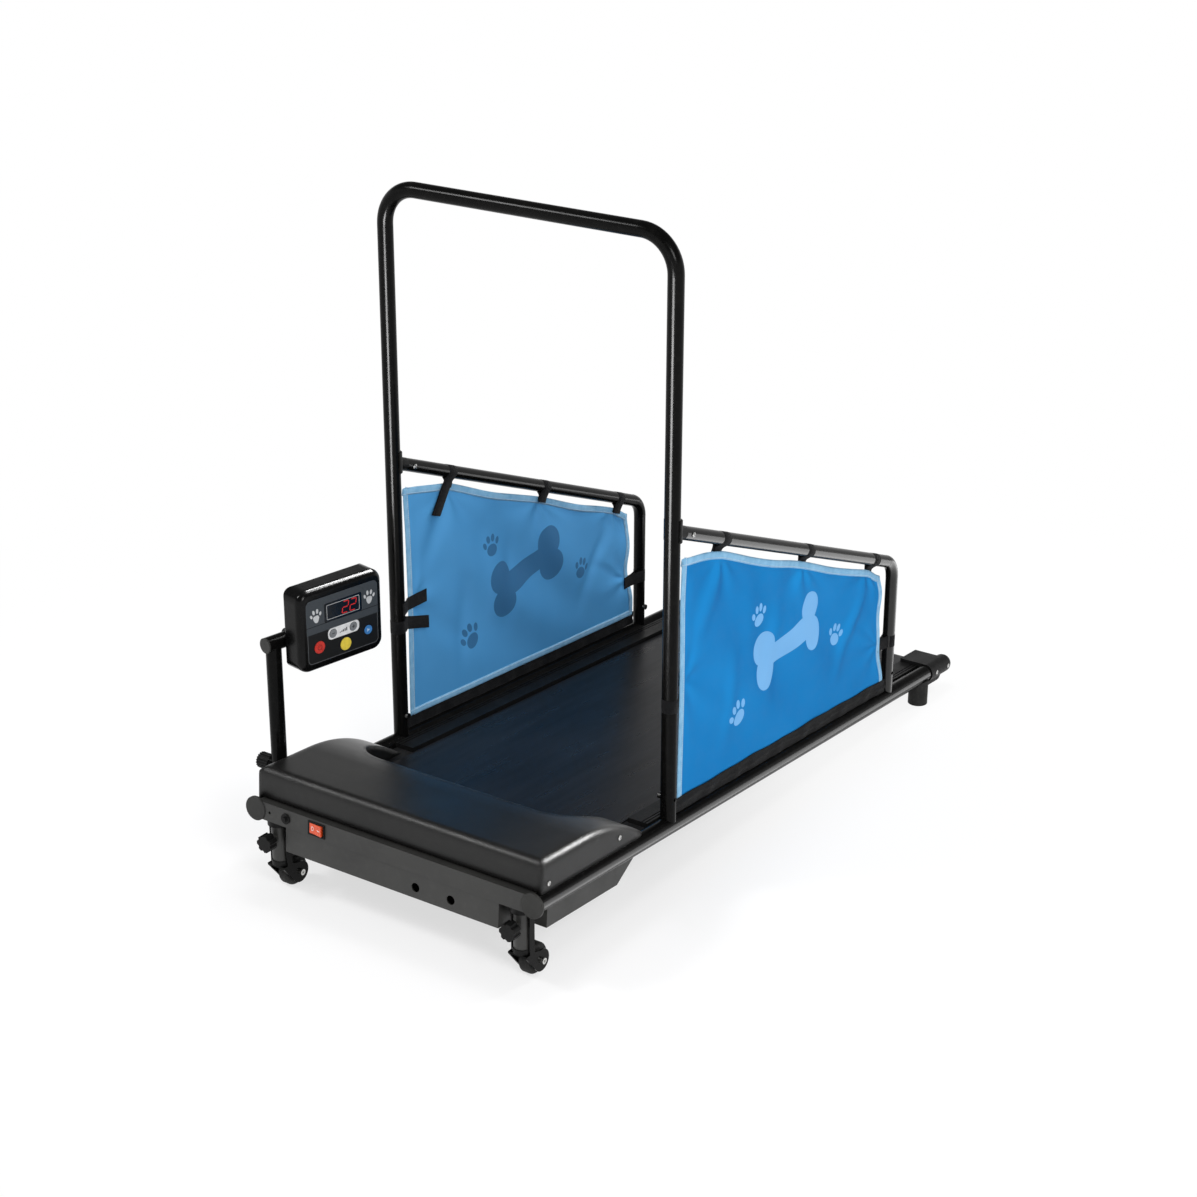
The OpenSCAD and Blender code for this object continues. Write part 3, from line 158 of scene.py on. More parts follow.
def weigh(tree, first, share, second, other):  # first times share, plus second times other
    return sums(tree, "ADD", sums(tree, "MULTIPLY", first, share), sums(tree, "MULTIPLY", second, other))


def relief(tree, height, depth, under=None):
    bump = addNode(tree, "ShaderNodeBump", {"Strength": 1.0, "Distance": depth})
    tree.links.new(height, bump.inputs["Height"])
    if under is not None:
        tree.links.new(under, bump.inputs["Normal"])
    return bump.outputs["Normal"]


def dress(tree, shader, tone, rough, normal, shine=None):
    for value, name in ((tone, "Base Color"), (rough, "Roughness"), (normal, "Normal")):
        tree.links.new(value, shader.inputs[name])
    if shine is not None:
        shader.inputs["Specular IOR Level"].default_value = shine


paintGrain = {"marks": 9, "marksFrom": -1.2, "dulled": 2.3, "samples": 6}


def paintFinish(name, look):  # sprayed or moulded skin: two close shades, a fine grain and faint marks
    finish, tree, shader = newFinish(name)
    where = objectPoint(tree)
    shade = blendColours(tree, cloud(tree, where, look["patch"], 3.0), look["dark"], look["light"])
    marks = cloud(tree, where, look["patch"] * paintGrain["marks"], 8.0, paintGrain["marksFrom"])
    shade = blendColours(tree, sums(tree, "MULTIPLY", marks, look["marks"], clamp=True), shade, look["wearAndShade"])
    rough = cloud(tree, where, look["patch"] * paintGrain["dulled"], 5.0, *look["rough"])
    soft = None
    if "soft" in look:  # moulded edges that turn over gently
        bevel = addNode(tree, "ShaderNodeBevel", {"Radius": look["soft"]}, samples=paintGrain["samples"])
        soft = bevel.outputs[0]
    normal = relief(tree, cloud(tree, where, look["grain"], 2.0), look["grainDepth"], soft)
    dress(tree, shader, shade, rough, normal, look["shine"])
    return finish


metalGrain = {"patch": 90.0, "dulled": 240.0, "lines": 2600.0, "depth": 0.00001}
capGrain = {"patch": 160.0, "dulled": 420.0, "pores": 3200.0, "depth": 0.000006, "deep": 0.82,
            "spread": (0.8, 1.25)}


def metalFinish(name, look):  # bright or dulled metal with turning lines
    finish, tree, shader = newFinish(name)
    where = objectPoint(tree)
    shade = blendColours(tree, cloud(tree, where, metalGrain["patch"], 4.0), look["dark"], look["light"])
    rough = cloud(tree, where, metalGrain["dulled"], 5.0, *look["rough"])
    lines = relief(tree, cloud(tree, where, metalGrain["lines"], 2.0), metalGrain["depth"])
    dress(tree, shader, shade, rough, lines)
    shader.inputs["Metallic"].default_value = 1.0
    return finish


def glossFinish(name, shade, rough, glow=0.0):  # moulded caps, inks and films
    finish, tree, shader = newFinish(name)
    where = objectPoint(tree)
    deep = [capGrain["deep"] * part for part in shade]
    tone = blendColours(tree, cloud(tree, where, capGrain["patch"], 4.0), deep, shade)
    dulled = cloud(tree, where, capGrain["dulled"], 4.0, *(rough * share for share in capGrain["spread"]))
    pores = relief(tree, cloud(tree, where, capGrain["pores"], 2.0), capGrain["depth"])
    dress(tree, shader, tone, dulled, pores)
    if glow:
        shader.inputs["Emission Color"].default_value = (*shade, 1.0)
        shader.inputs["Emission Strength"].default_value = glow
    return finish


paints = {
    "tubePaint": {"dark": (0.0020, 0.0020, 0.0020), "light": (0.0040, 0.0039, 0.0037),
                  "wearAndShade": (0.03, 0.029, 0.027), "patch": 11.0, "marks": 0.08, "rough": (0.17, 0.23),
                  "grain": 1300.0, "grainDepth": 0.000004, "shine": 0.08},
    "sheetPaint": {"dark": (0.017, 0.017, 0.016), "light": (0.026, 0.026, 0.024),
                   "wearAndShade": (0.05, 0.049, 0.046), "patch": 9.0, "marks": 0.16, "rough": (0.40, 0.52),
                   "grain": 1500.0, "grainDepth": 0.00004, "shine": 0.52},
    "hoodSkin": {"dark": (0.0048, 0.0048, 0.0047), "light": (0.0085, 0.0085, 0.0082),
                 "wearAndShade": (0.035, 0.034, 0.032), "patch": 8.0, "marks": 0.1, "rough": (0.28, 0.36),
                 "grain": 1700.0, "grainDepth": 0.00002, "shine": 0.34, "soft": 0.012},
    "darkMould": {"dark": (0.005, 0.005, 0.005), "light": (0.009, 0.009, 0.009),
                  "wearAndShade": (0.035, 0.035, 0.034), "patch": 14.0, "marks": 0.14, "rough": (0.36, 0.48),
                  "grain": 1900.0, "grainDepth": 0.00005, "shine": 0.12},
    "discPaint": {"dark": (0.022, 0.022, 0.021), "light": (0.032, 0.032, 0.030),
                  "wearAndShade": (0.06, 0.06, 0.057), "patch": 14.0, "marks": 0.14, "rough": (0.44, 0.56),
                  "grain": 1900.0, "grainDepth": 0.00005, "shine": 0.25},
    "softRubber": {"dark": (0.012, 0.012, 0.012), "light": (0.022, 0.022, 0.021),
                   "wearAndShade": (0.05, 0.05, 0.048), "patch": 26.0, "marks": 0.3, "rough": (0.6, 0.76),
                   "grain": 1400.0, "grainDepth": 0.00008, "shine": 0.2},
    "consoleSkin": {"dark": (0.0018, 0.0019, 0.0020), "light": (0.0036, 0.0037, 0.0039),
                    "wearAndShade": (0.03, 0.03, 0.03), "patch": 18.0, "marks": 0.08, "rough": (0.16, 0.22),
                    "grain": 2100.0, "grainDepth": 0.000012, "shine": 0.14},
    "darkBoard": {"dark": (0.006, 0.0062, 0.0068), "light": (0.012, 0.0124, 0.013),
                  "wearAndShade": (0.06, 0.045, 0.03), "patch": 30.0, "marks": 0.2, "rough": (0.55, 0.7),
                  "grain": 1100.0, "grainDepth": 0.0001, "shine": 0.2},
    "greenBoard": {"dark": (0.012, 0.07, 0.034), "light": (0.02, 0.11, 0.055),
                   "wearAndShade": (0.05, 0.16, 0.09), "patch": 50.0, "marks": 0.2, "rough": (0.35, 0.5),
                   "grain": 900.0, "grainDepth": 0.00005, "shine": 0.5},
}
metals = {
    "brightZinc": {"dark": (0.55, 0.55, 0.54), "light": (0.74, 0.74, 0.72), "rough": (0.2, 0.36)},
    "blackSteel": {"dark": (0.05, 0.05, 0.05), "light": (0.09, 0.09, 0.088), "rough": (0.3, 0.46)},
    "rollerSteel": {"dark": (0.42, 0.42, 0.42), "light": (0.56, 0.56, 0.56), "rough": (0.3, 0.45)},
}
inks = {
    "redCap": ((0.62, 0.035, 0.022), 0.3), "yellowCap": ((0.86, 0.66, 0.07), 0.32),
    "blueCap": ((0.05, 0.22, 0.55), 0.3), "greyCap": ((0.22, 0.23, 0.24), 0.34),
    "orangeRocker": ((0.75, 0.085, 0.022), 0.26), "whiteInk": ((0.82, 0.82, 0.82), 0.4),
    "pawInk": ((0.60, 0.61, 0.62), 0.42), "frameInk": ((0.34, 0.35, 0.36), 0.38),
    "edgeInk": ((0.10, 0.105, 0.11), 0.4), "darkInk": ((0.03, 0.03, 0.032), 0.4),
    "deepRedInk": ((0.20, 0.008, 0.006), 0.4), "skyInk": ((0.50, 0.68, 0.86), 0.4),
    "smokedPane": ((0.004, 0.004, 0.005), 0.08), "paleThread": ((0.55, 0.72, 0.86), 0.7),
    "ledGlow": ((0.42, 0.012, 0.012), 0.3, 0.6),
}
finishes = {name: paintFinish(name, look) for name, look in paints.items()}
finishes.update({name: metalFinish(name, look) for name, look in metals.items()})
finishes.update({name: glossFinish(name, *look) for name, look in inks.items()})

beltSkin = {
    "dark": (0.0062, 0.0064, 0.0072), "light": (0.0112, 0.0116, 0.0130), "diamond": 0.0032, "tread": 0.00008,
    "rough": (0.26, 0.36), "shine": 0.16, "drawn": (26.0, 1.6, 26.0), "rub": 2.0, "dulled": 3.0,
}


def beltFinish(name, look):  # rubber belt with a fine diamond tread and long rub marks
    finish, tree, shader = newFinish(name)
    where = objectPoint(tree)
    turned = addNode(tree, "ShaderNodeMapping", {"Rotation": (0.0, 0.0, math.radians(45))})
    drawn = addNode(tree, "ShaderNodeMapping", {"Scale": look["drawn"]})
    for mapping in (turned, drawn):
        tree.links.new(where, mapping.inputs["Vector"])
    tread = sums(tree, "MULTIPLY", *(bands(tree, turned.outputs[0], way, look["diamond"]) for way in "XY"))
    tone = blendColours(tree, cloud(tree, drawn.outputs[0], look["rub"], 5.0), look["dark"], look["light"])
    rough = cloud(tree, drawn.outputs[0], look["dulled"], 4.0, *look["rough"])
    dress(tree, shader, tone, rough, relief(tree, tread, look["tread"]), look["shine"])
    return finish


overlaySkin = {
    "slate": (0.052, 0.060, 0.068), "black": (0.0075, 0.0078, 0.008), "deep": 0.9, "patch": 300.0,
    "split": 0.4095, "lineLow": 0.4221, "line": 0.0011, "rough": (0.289, 0.408), "dulled": 500.0,
    "grain": 3000.0, "grainDepth": 0.00001, "shine": 0.25,
}


def overlayFinish(name, look):  # printed film: slate above, black below, with one thin dark line in the slate
    finish, tree, shader = newFinish(name)
    where = objectPoint(tree)
    apart = addNode(tree, "ShaderNodeSeparateXYZ")
    tree.links.new(where, apart.inputs[0])
    height = apart.outputs["Z"]
    deep = [look["deep"] * part for part in look["slate"]]
    tone = blendColours(tree, cloud(tree, where, look["patch"], 3.0), deep, look["slate"])
    line = sums(tree, "COMPARE", height, look["lineLow"])
    line.node.inputs[2].default_value = look["line"] / 2
    tone = blendColours(tree, line, tone, look["black"])
    tone = blendColours(tree, sums(tree, "GREATER_THAN", height, look["split"]), look["black"], tone)
    rough = cloud(tree, where, look["dulled"], 3.0, *look["rough"])
    grain = relief(tree, cloud(tree, where, look["grain"], 2.0), look["grainDepth"])
    dress(tree, shader, tone, rough, grain, look["shine"])
    return finish


finishes["beltRubber"] = beltFinish("beltRubber", beltSkin)
finishes["overlayFilm"] = overlayFinish("overlayFilm", overlaySkin)

nodeFinish = {
    "tubePaint": "left_rail right_rail handle_hoop left_side_bar right_side_bar console_arm arm_bracket "
                 "cross_braces left_leg right_leg",
    "sheetPaint": "front_beam motor_tray motor_mount",
    "hoodSkin": "motor_hood",
    "darkMould": "left_end_cap right_end_cap left_foot_strip right_foot_strip bar_clips leg_rings "
                 "switch_frame breaker_body breaker_button arm_knob left_leg_knob right_leg_knob "
                 "roller_bearings",
    "softRubber": "rear_feet left_wheel right_wheel drive_belt",
    "consoleSkin": "console_back console_front",
    "darkBoard": "deck_board",
    "discPaint": "end_discs tee_plugs",
    "greenBoard": "console_board controller_board",
    "beltRubber": "running_belt",
    "brightZinc": "cover_screws left_axle right_axle",
    "blackSteel": "frame_bolts motor_body",
    "rollerSteel": "front_roller rear_roller roller_pulley motor_rotor",
    "overlayFilm": "console_overlay", "smokedPane": "display_window", "orangeRocker": "rocker",
    "redCap": "power_button", "yellowCap": "yellow_button", "blueCap": "blue_button",
    "greyCap": "minus_button plus_button",
}
for name, group in nodeFinish.items():
    for node in group.split():
        for slot in nodes[node].material_slots:
            slot.material = finishes[name]
print("finishes set on the frame's nodes")


# mesh helpers
def addObject(name, data):
    made = bpy.data.objects.new(name, data)
    bpy.context.scene.collection.objects.link(made)
    return made


def newPiece(name, points, faces, *finish, smooth=True, edges=()):
    mesh = bpy.data.meshes.new(name)
    mesh.from_pydata([tuple(point) for point in points], edges, faces)
    mesh.update()
    for polygon in mesh.polygons:
        polygon.use_smooth = smooth
    for one in finish:
        mesh.materials.append(finishes[one])
    return addObject(name, mesh)


def faceOutward(piece, gap=0.000001):  # merges points closer than the gap, if there is one
    work = bmesh.new()
    work.from_mesh(piece.data)
    if gap:
        bmesh.ops.remove_doubles(work, verts=work.verts, dist=gap)
    bmesh.ops.recalc_face_normals(work, faces=work.faces)
    work.to_mesh(piece.data)
    work.free()
    return piece


def gridFaces(cols, rows, side):  # turned over on the left side, so that they still face out
    wide = cols + 1
    faces = [(j * wide + i, j * wide + i + 1, (j + 1) * wide + i + 1, (j + 1) * wide + i)
             for j in range(rows) for i in range(cols)]
    return faces if side > 0 else [face[::-1] for face in faces]


def bandFaces(start, count, closed=True):  # between one row of points and the next
    pairs = [(start + k, start + (k + 1) % count) for k in range(count if closed else count - 1)]
    return [(a, b, b + count, a + count) for a, b in pairs]


def roundRect(w, h, r, x=0.0, y=0.0, steps=8):
    out = []
    for cx, cy, begin in ((1, 1, 0), (-1, 1, 90), (-1, -1, 180), (1, -1, 270)):
        for k in range(steps + 1):
            c, s = turnOf(begin + 90 * k / steps)
            out.append((x + cx * (w / 2 - r) + r * c, y + cy * (h / 2 - r) + r * s))
    return out


def giveCut(piece, cut):  # the flat cut's own map, in metres, one pair for each point
    layer = piece.data.uv_layers.new(name="cut")
    for loop in piece.data.loops:
        layer.data[loop.index].uv = cut[loop.vertex_index]


def giveWall(piece, thick, offset=0.0):
    wall = piece.modifiers.new("wall", "SOLIDIFY")
    wall.thickness, wall.offset = thick, offset
    return wall


def settle(piece, body, slot):
    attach(piece, body)
    return piece


# Geometry Nodes for what repeats: one shape on many points, with named sizes and a finish
def repeatTree(name, sizes):
    tree = bpy.data.node_groups.new(name, "GeometryNodeTree")
    sockets = [("Geometry", "NodeSocketGeometry"), *((size, "NodeSocketFloat") for size in sizes)]
    for label, kind in sockets + [("Finish", "NodeSocketMaterial")]:
        tree.interface.new_socket(label, in_out="INPUT", socket_type=kind)
    tree.interface.new_socket("Geometry", in_out="OUTPUT", socket_type="NodeSocketGeometry")
    given, made = tree.nodes.new("NodeGroupInput"), tree.nodes.new("NodeGroupOutput")
    turn = addNode(tree, "FunctionNodeAlignRotationToVector", axis="Z")
    place = tree.nodes.new("GeometryNodeInstanceOnPoints")
    real = tree.nodes.new("GeometryNodeRealizeInstances")
    paint = tree.nodes.new("GeometryNodeSetMaterial")
    joinAll(tree, (turn.outputs[0], place.inputs["Rotation"]), (place.outputs[0], real.inputs[0]),
            (real.outputs[0], paint.inputs["Geometry"]), (given.outputs["Finish"], paint.inputs["Material"]),
            (paint.outputs[0], made.inputs[0]))
    return tree, given.outputs, turn.inputs["Vector"], place.inputs


def stitchTree():  # short threads along a run of edges
    tree, given, facing, place = repeatTree("stitchRow", ("Spacing", "Length", "Gauge"))
    line = tree.nodes.new("GeometryNodeMeshToCurve")
    spread = addNode(tree, "GeometryNodeResampleCurve", mode="LENGTH")
    thread = addNode(tree, "GeometryNodeMeshCylinder", {"Vertices": 6})
    tangent = tree.nodes.new("GeometryNodeInputTangent")
    joinAll(tree, (given["Geometry"], line.inputs[0]), (line.outputs[0], spread.inputs["Curve"]),
            (given["Spacing"], spread.inputs["Length"]), (spread.outputs[0], place["Points"]),
            (given["Gauge"], thread.inputs["Radius"]), (given["Length"], thread.inputs["Depth"]),
            (thread.outputs["Mesh"], place["Instance"]), (tangent.outputs[0], facing))
    return tree


def crossTree():  # one cross on each point, turned to face the way the point does
    tree, given, facing, place = repeatTree("crossSlots", ("Long", "Wide", "Rise"))
    both = tree.nodes.new("GeometryNodeJoinGeometry")
    for first, second in (("Long", "Wide"), ("Wide", "Long")):
        size, bar = tree.nodes.new("ShaderNodeCombineXYZ"), tree.nodes.new("GeometryNodeMeshCube")
        joinAll(tree, (given[first], size.inputs["X"]), (given[second], size.inputs["Y"]),
                (given["Rise"], size.inputs["Z"]), (size.outputs[0], bar.inputs["Size"]),
                (bar.outputs["Mesh"], both.inputs[0]))
    way = addNode(tree, "GeometryNodeInputNamedAttribute", {"Name": "facing"}, data_type="FLOAT_VECTOR")
    joinAll(tree, (given["Geometry"], place["Points"]), (both.outputs[0], place["Instance"]),
            (way.outputs[0], facing))
    return tree


def grow(piece, tree, values):  # runs a tree on a piece and keeps the plain mesh
    modifier = piece.modifiers.new("grow", "NODES")
    modifier.node_group = tree
    for item in tree.interface.items_tree:
        if item.item_type == "SOCKET" and item.in_out == "INPUT" and item.name in values:
            modifier[item.identifier] = values[item.name]
    graph = bpy.context.evaluated_depsgraph_get()
    made = bpy.data.meshes.new_from_object(piece.evaluated_get(graph), preserve_all_data_layers=True,
                                           depsgraph=graph)
    piece.modifiers.clear()
    piece.data = made
    return piece


# fabric screens: cut as four-sided sheets, held up by straps, sagging between them
screenCut = {
    "frontGap": 0.026, "rearLow": 0.024, "rearTop": 0.046, "topGap": 0.022, "frontDroop": 0.022,
    "droopReach": 0.185, "rearDroop": 0.008, "railGap": 0.017, "clothLow": 0.037, "thick": 0.001,
    "columns": 132, "rows": 76, "frontBow": 0.0025, "rearWave": 0.005,
    "sags": ((0.17, 0.575, 0.0045), (0.575, 0.925, 0.0035)),
}
# slanting folds that fade at the edges, creases (from u, v to u, v, width, height) and pulls at the straps
screenFolds = {
    "depth": 0.007, "waves": 2.5, "slant": 0.6, "tall": 0.4,
    "creases": ((0.90, 0.86, 0.70, 0.12, 0.016, 0.0050), (0.17, 0.95, 0.02, 0.52, 0.020, 0.0050),
                (0.55, 0.97, 0.62, 0.45, 0.022, 0.0046), (0.06, 0.45, 0.34, 0.20, 0.024, 0.0034),
                (0.30, 0.90, 0.36, 0.30, 0.028, 0.0036), (0.97, 0.45, 0.78, 0.62, 0.016, 0.0032),
                (0.44, 0.80, 0.40, 0.15, 0.020, 0.0034), (0.24, 0.55, 0.20, 0.05, 0.018, 0.0030)),
    "pulls": ((0.170, 1.0), (0.575, 1.0), (0.925, 1.0), (0.0, 0.52), (1.0, 0.43)), "pull": 0.0030,
    "pullReach": 0.07, "pullRays": 7, "pullClear": (0.012, 0.034), "topRipple": (0.0022, 9.5, 1.1),
    # step samples the fold's slope; the last value sets how strongly painted shade follows the folds, one
    # flank painted lighter and the other darker
    "rearRipple": (0.0018, 5), "step": 0.006, "foldShadeGain": 2.0,
}
screenLength = barRun - screenCut["frontGap"] - screenCut["rearLow"]


def sheetPlace(u, v):  # the sheet's (y, z) before its folds, u along the rail and v up from the rail
    cut = screenCut
    front = machine["hoopY"] + cut["frontGap"] + cut["frontBow"] * math.sin(math.pi * v) ** 2
    rear = machine["barY"] - cut["rearLow"] - v * (cut["rearTop"] - cut["rearLow"])
    rear += cut["rearWave"] * math.sin(3 * math.pi * v) * ramp(v, 0.0, 0.1) * ramp(1 - v, 0.0, 0.1)
    y = front + u * (rear - front)
    low = railHeight(y) + cut["railGap"]
    sag = cut["frontDroop"] * max(0.0, 1 - u / cut["droopReach"]) ** 1.25
    sag += cut["rearDroop"] * ramp(u, 0.93, 1.0)
    for begin, end, deep in cut["sags"]:
        if begin < u < end:
            sag += deep * math.sin(math.pi * (u - begin) / (end - begin)) ** 2
    top = barHeight(y) - cut["topGap"] - sag
    return y, low + v * (top - low)


def sheetFold(u, v):
    look = screenFolds
    tall = look["tall"]
    fade = (math.sin(math.pi * u) * math.sin(math.pi * v)) ** 2
    out = look["depth"] * fade * math.sin(2 * math.pi * look["waves"] * (u + look["slant"] * v))
    for u0, v0, u1, v1, width, height in look["creases"]:
        ax, ay = (u1 - u0) * screenLength, (v1 - v0) * tall
        px, py = (u - u0) * screenLength, (v - v0) * tall
        t = min(max((px * ax + py * ay) / (ax * ax + ay * ay), 0.0), 1.0)
        away = math.hypot(px - t * ax, py - t * ay)
        taper = math.sin(math.pi * min(t + 0.15, 1.0)) * min(1.0, 12 * u * (1 - u) + 0.25)
        out += height * math.exp(-(away / width) ** 2) * taper
    clear = ramp(min((1 - v) * tall, u * screenLength, (1 - u) * screenLength), *look["pullClear"])
    for index, (ua, va) in enumerate(look["pulls"]):
        px, py = (u - ua) * screenLength, (v - va) * tall
        rays = math.cos(look["pullRays"] * math.atan2(py, px) + index)
        out += look["pull"] * clear * math.exp(-math.hypot(px, py) / look["pullReach"]) * rays
    high, waves, shift = look["topRipple"]
    out += high * math.sin(waves * math.pi * u + shift) * ramp(v, 0.8, 1.0)
    high, waves = look["rearRipple"]
    return out + high * math.sin(waves * math.pi * v) * ramp(u, 0.85, 1.0)


def sheetPoint(u, v):
    y, z = sheetPlace(u, v)
    return Vector((machine["railX"] + sheetFold(u, v), y, z))


def clothV(u, share):  # the blue cloth starts above the black hem flap
    y, top = sheetPlace(u, 1.0)
    start = (screenCut["clothLow"] - screenCut["railGap"]) / (top - railHeight(y) - screenCut["railGap"])
    return start + share * (1 - start)


# bone: place, length, knob, half width, turn; paws: place, size, turn
# pads: place, radii and lean, in a paw's size
clothLook = {
    # each face has a dark and a light tone, blended by random patches and by painted shade along the folds
    "outside": ((0.0040, 0.140, 0.400), (0.0150, 0.275, 0.670)), "print": (0.215, 0.500, 0.860),
    "inside": ((0.060, 0.272, 0.560), (0.122, 0.430, 0.820)), "shadow": (0.036, 0.120, 0.255),
    "printShare": 0.92, "shadowShare": 0.75, "thread": 0.0011, "weave": 0.00010, "patch": 5.0,
    "patchShare": 0.3, "foldShadeShare": 0.7, "dulled": 40.0, "rough": (0.50, 0.64), "shine": 0.03,
    "bone": (0.335, 0.215, 0.150, 0.030, 0.021, 12.0), "knobApart": 0.8,
    "paws": ((0.175, 0.130, 0.026, 30.0), (0.235, 0.285, 0.022, 8.0), (0.500, 0.175, 0.022, -18.0)),
    "pads": ((0.0, -0.25, 0.62, 0.50, 0.0), (-0.78, 0.32, 0.21, 0.31, 22.0), (-0.28, 0.72, 0.22, 0.33, 8.0),
             (0.28, 0.72, 0.22, 0.33, -8.0), (0.78, 0.32, 0.21, 0.31, -22.0)),
}


def roundSpot(tree, across, up, centre, radii, turn):  # 1 inside an ellipse of the flat cut
    c, s = turnOf(turn)
    dx, dy = sums(tree, "SUBTRACT", across, centre[0]), sums(tree, "SUBTRACT", up, centre[1])
    ex = weigh(tree, dx, c / radii[0], dy, s / radii[0])
    ey = weigh(tree, dx, -s / radii[1], dy, c / radii[1])
    return sums(tree, "LESS_THAN", weigh(tree, ex, ex, ey, ey), 1.0)


def printMask(tree, where):  # a bone and three paw prints
    apart = addNode(tree, "ShaderNodeSeparateXYZ")
    tree.links.new(where, apart.inputs[0])
    across, up = apart.outputs["X"], apart.outputs["Y"]
    x, y, long, knob, bar, turn = clothLook["bone"]
    c, s = turnOf(turn)
    masks = []
    for end in (-1, 1):
        for lift in (-1, 1):
            dx, dy = end * long / 2, lift * knob * clothLook["knobApart"]
            centre = (x + dx * c - dy * s, y + dx * s + dy * c)
            masks.append(roundSpot(tree, across, up, centre, (knob, knob), 0.0))
    dx, dy = sums(tree, "SUBTRACT", across, x), sums(tree, "SUBTRACT", up, y)
    inside = [sums(tree, "LESS_THAN", sums(tree, "ABSOLUTE", weigh(tree, dx, a, dy, b), 0.0), limit)
              for a, b, limit in ((c, s, long / 2), (-s, c, bar))]
    masks.append(sums(tree, "MULTIPLY", *inside))
    for px, py, size, turn in clothLook["paws"]:
        c, s = turnOf(turn)
        for ox, oy, rx, ry, lean in clothLook["pads"]:
            centre = (px + size * (ox * c - oy * s), py + size * (ox * s + oy * c))
            masks.append(roundSpot(tree, across, up, centre, (rx * size, ry * size), turn + lean))
    whole = masks[0]
    for mask in masks[1:]:
        whole = sums(tree, "MAXIMUM", whole, mask)
    return whole


def clothFinish(name, tones, ink, inkShare):
    look = clothLook
    finish, tree, shader = newFinish(name)
    where = cutPoint(tree)
    # painted shade: the folds' lighter and darker flanks, read from the points and mixed with random patches
    paintedFoldShade = addNode(tree, "ShaderNodeAttribute", attribute_name="crease").outputs["Fac"]
    wearAndShade = weigh(tree, cloud(tree, where, look["patch"], 4.0), look["patchShare"], paintedFoldShade, look["foldShadeShare"])
    tone = blendColours(tree, wearAndShade, *tones)
    weave = sums(tree, "MAXIMUM", *(bands(tree, where, way, look["thread"]) for way in "XY"))
    inked = sums(tree, "MULTIPLY", printMask(tree, where), inkShare)
    tone = blendColours(tree, inked, tone, ink)
    rough = cloud(tree, where, look["dulled"], 4.0, *look["rough"])
    dress(tree, shader, tone, rough, relief(tree, weave, look["weave"]), look["shine"])
    return finish


# woven tapes: dark and light tone, rib across the run, fuzz
tapes = {
    "edgeTape": ((0.20, 0.45, 0.70), (0.30, 0.57, 0.80), 0.0012, 0.00004),
    "hookTape": ((0.0035, 0.0036, 0.0042), (0.0075, 0.0077, 0.0088), 0.0016, 0.00022),
    "hemCloth": ((0.003, 0.0031, 0.0036), (0.0065, 0.0067, 0.0074), 0.0009, 0.00008),
}
tapeGrain = {"patch": 70.0, "dulled": 200.0, "rough": (0.62, 0.8), "ribDepth": 0.00012, "fuzz": 2400.0,
             "shine": 0.12, "sheen": 0.04}


def tapeFinish(name, dark, light, rib, fuzz):
    finish, tree, shader = newFinish(name)
    where = cutPoint(tree)
    tone = blendColours(tree, cloud(tree, where, tapeGrain["patch"], 4.0), dark, light)
    rough = cloud(tree, where, tapeGrain["dulled"], 4.0, *tapeGrain["rough"])
    ribs = relief(tree, bands(tree, where, "X", rib), tapeGrain["ribDepth"])
    normal = relief(tree, cloud(tree, where, tapeGrain["fuzz"], 2.0), fuzz, ribs)
    dress(tree, shader, tone, rough, normal, tapeGrain["shine"])
    shader.inputs["Sheen Weight"].default_value = tapeGrain["sheen"]
    return finish


for name, tones, ink in (("clothOut", "outside", "print"), ("clothIn", "inside", "shadow")):
    finishes[name] = clothFinish(name, clothLook[tones], clothLook[ink], clothLook[ink + "Share"])
finishes.update({name: tapeFinish(name, *look) for name, look in tapes.items()})


def makeCloth(side, name):
    cols, rows, step = screenCut["columns"], screenCut["rows"], screenFolds["step"]
    points, cut, creases = [], [], []
    for j in range(rows + 1):
        for i in range(cols + 1):
            u, v = i / cols, clothV(i / cols, j / rows)
            y, z = sheetPlace(u, v)
            points.append(toRow(sheetPoint(u, v), side))
            cut.append((y - machine["hoopY"] - screenCut["frontGap"], z - railHeight(y)))
            # painted fold shade, taken from the fold's slope along the rail
            u = min(max(u, step), 1 - step)
            v = clothV(u, j / rows)
            slope = (sheetFold(u + step, v) - sheetFold(u - step, v)) / (2 * step * screenLength)
            creases.append(min(max(0.5 + screenFolds["foldShadeGain"] * side * slope, 0.0), 1.0))
    piece = newPiece(name, points, gridFaces(cols, rows, side), "clothOut", "clothIn", "clothOut")
    giveCut(piece, cut)
    # painted shade along the folds: one flank of each fold painted lighter and the other darker, as if lit
    # from the front
    crease = piece.data.attributes.new("crease", "FLOAT", "POINT")
    crease.data.foreach_set("value", creases)
    wall = giveWall(piece, screenCut["thick"])
    wall.material_offset, wall.material_offset_rim = 1, 0
    return piece


# binding folded over the four edges, and its stitches
edgeTape = {"width": 0.0115, "stand": 0.0011, "lip": 0.0006, "turn": -0.0009, "wall": 0.0005, "steps": 110,
            "shape": ((1.0, 0.62), (0.66, 1.0), (0.3, 1.04)), "lipStand": 0.9, "cutStep": 0.003,
            "thread": 0.0026, "proud": 0.0003, "spacing": 0.0040, "stitch": 0.0027, "gauge": 0.00045}
edgeRuns = (lambda t: (t, 0.0), lambda t: (1.0, t), lambda t: (1 - t, 1.0), lambda t: (0.0, 1 - t))


def clothPoint(u, share):
    return sheetPoint(u, clothV(u, share))


def flatSize(steps=60):  # the cut before it was hung: (longest run, tallest height, area)
    spots = []
    for run in edgeRuns:
        for i in range(steps):
            u, share = run(i / steps)
            y, z = sheetPlace(u, clothV(u, share))
            spots.append((y, z - railHeight(y)))
    area = abs(sum(a[0] * b[1] - b[0] * a[1] for a, b in zip(spots, spots[1:] + spots[:1]))) / 2
    ys, zs = zip(*spots)
    return max(ys) - min(ys), max(zs) - min(zs), area


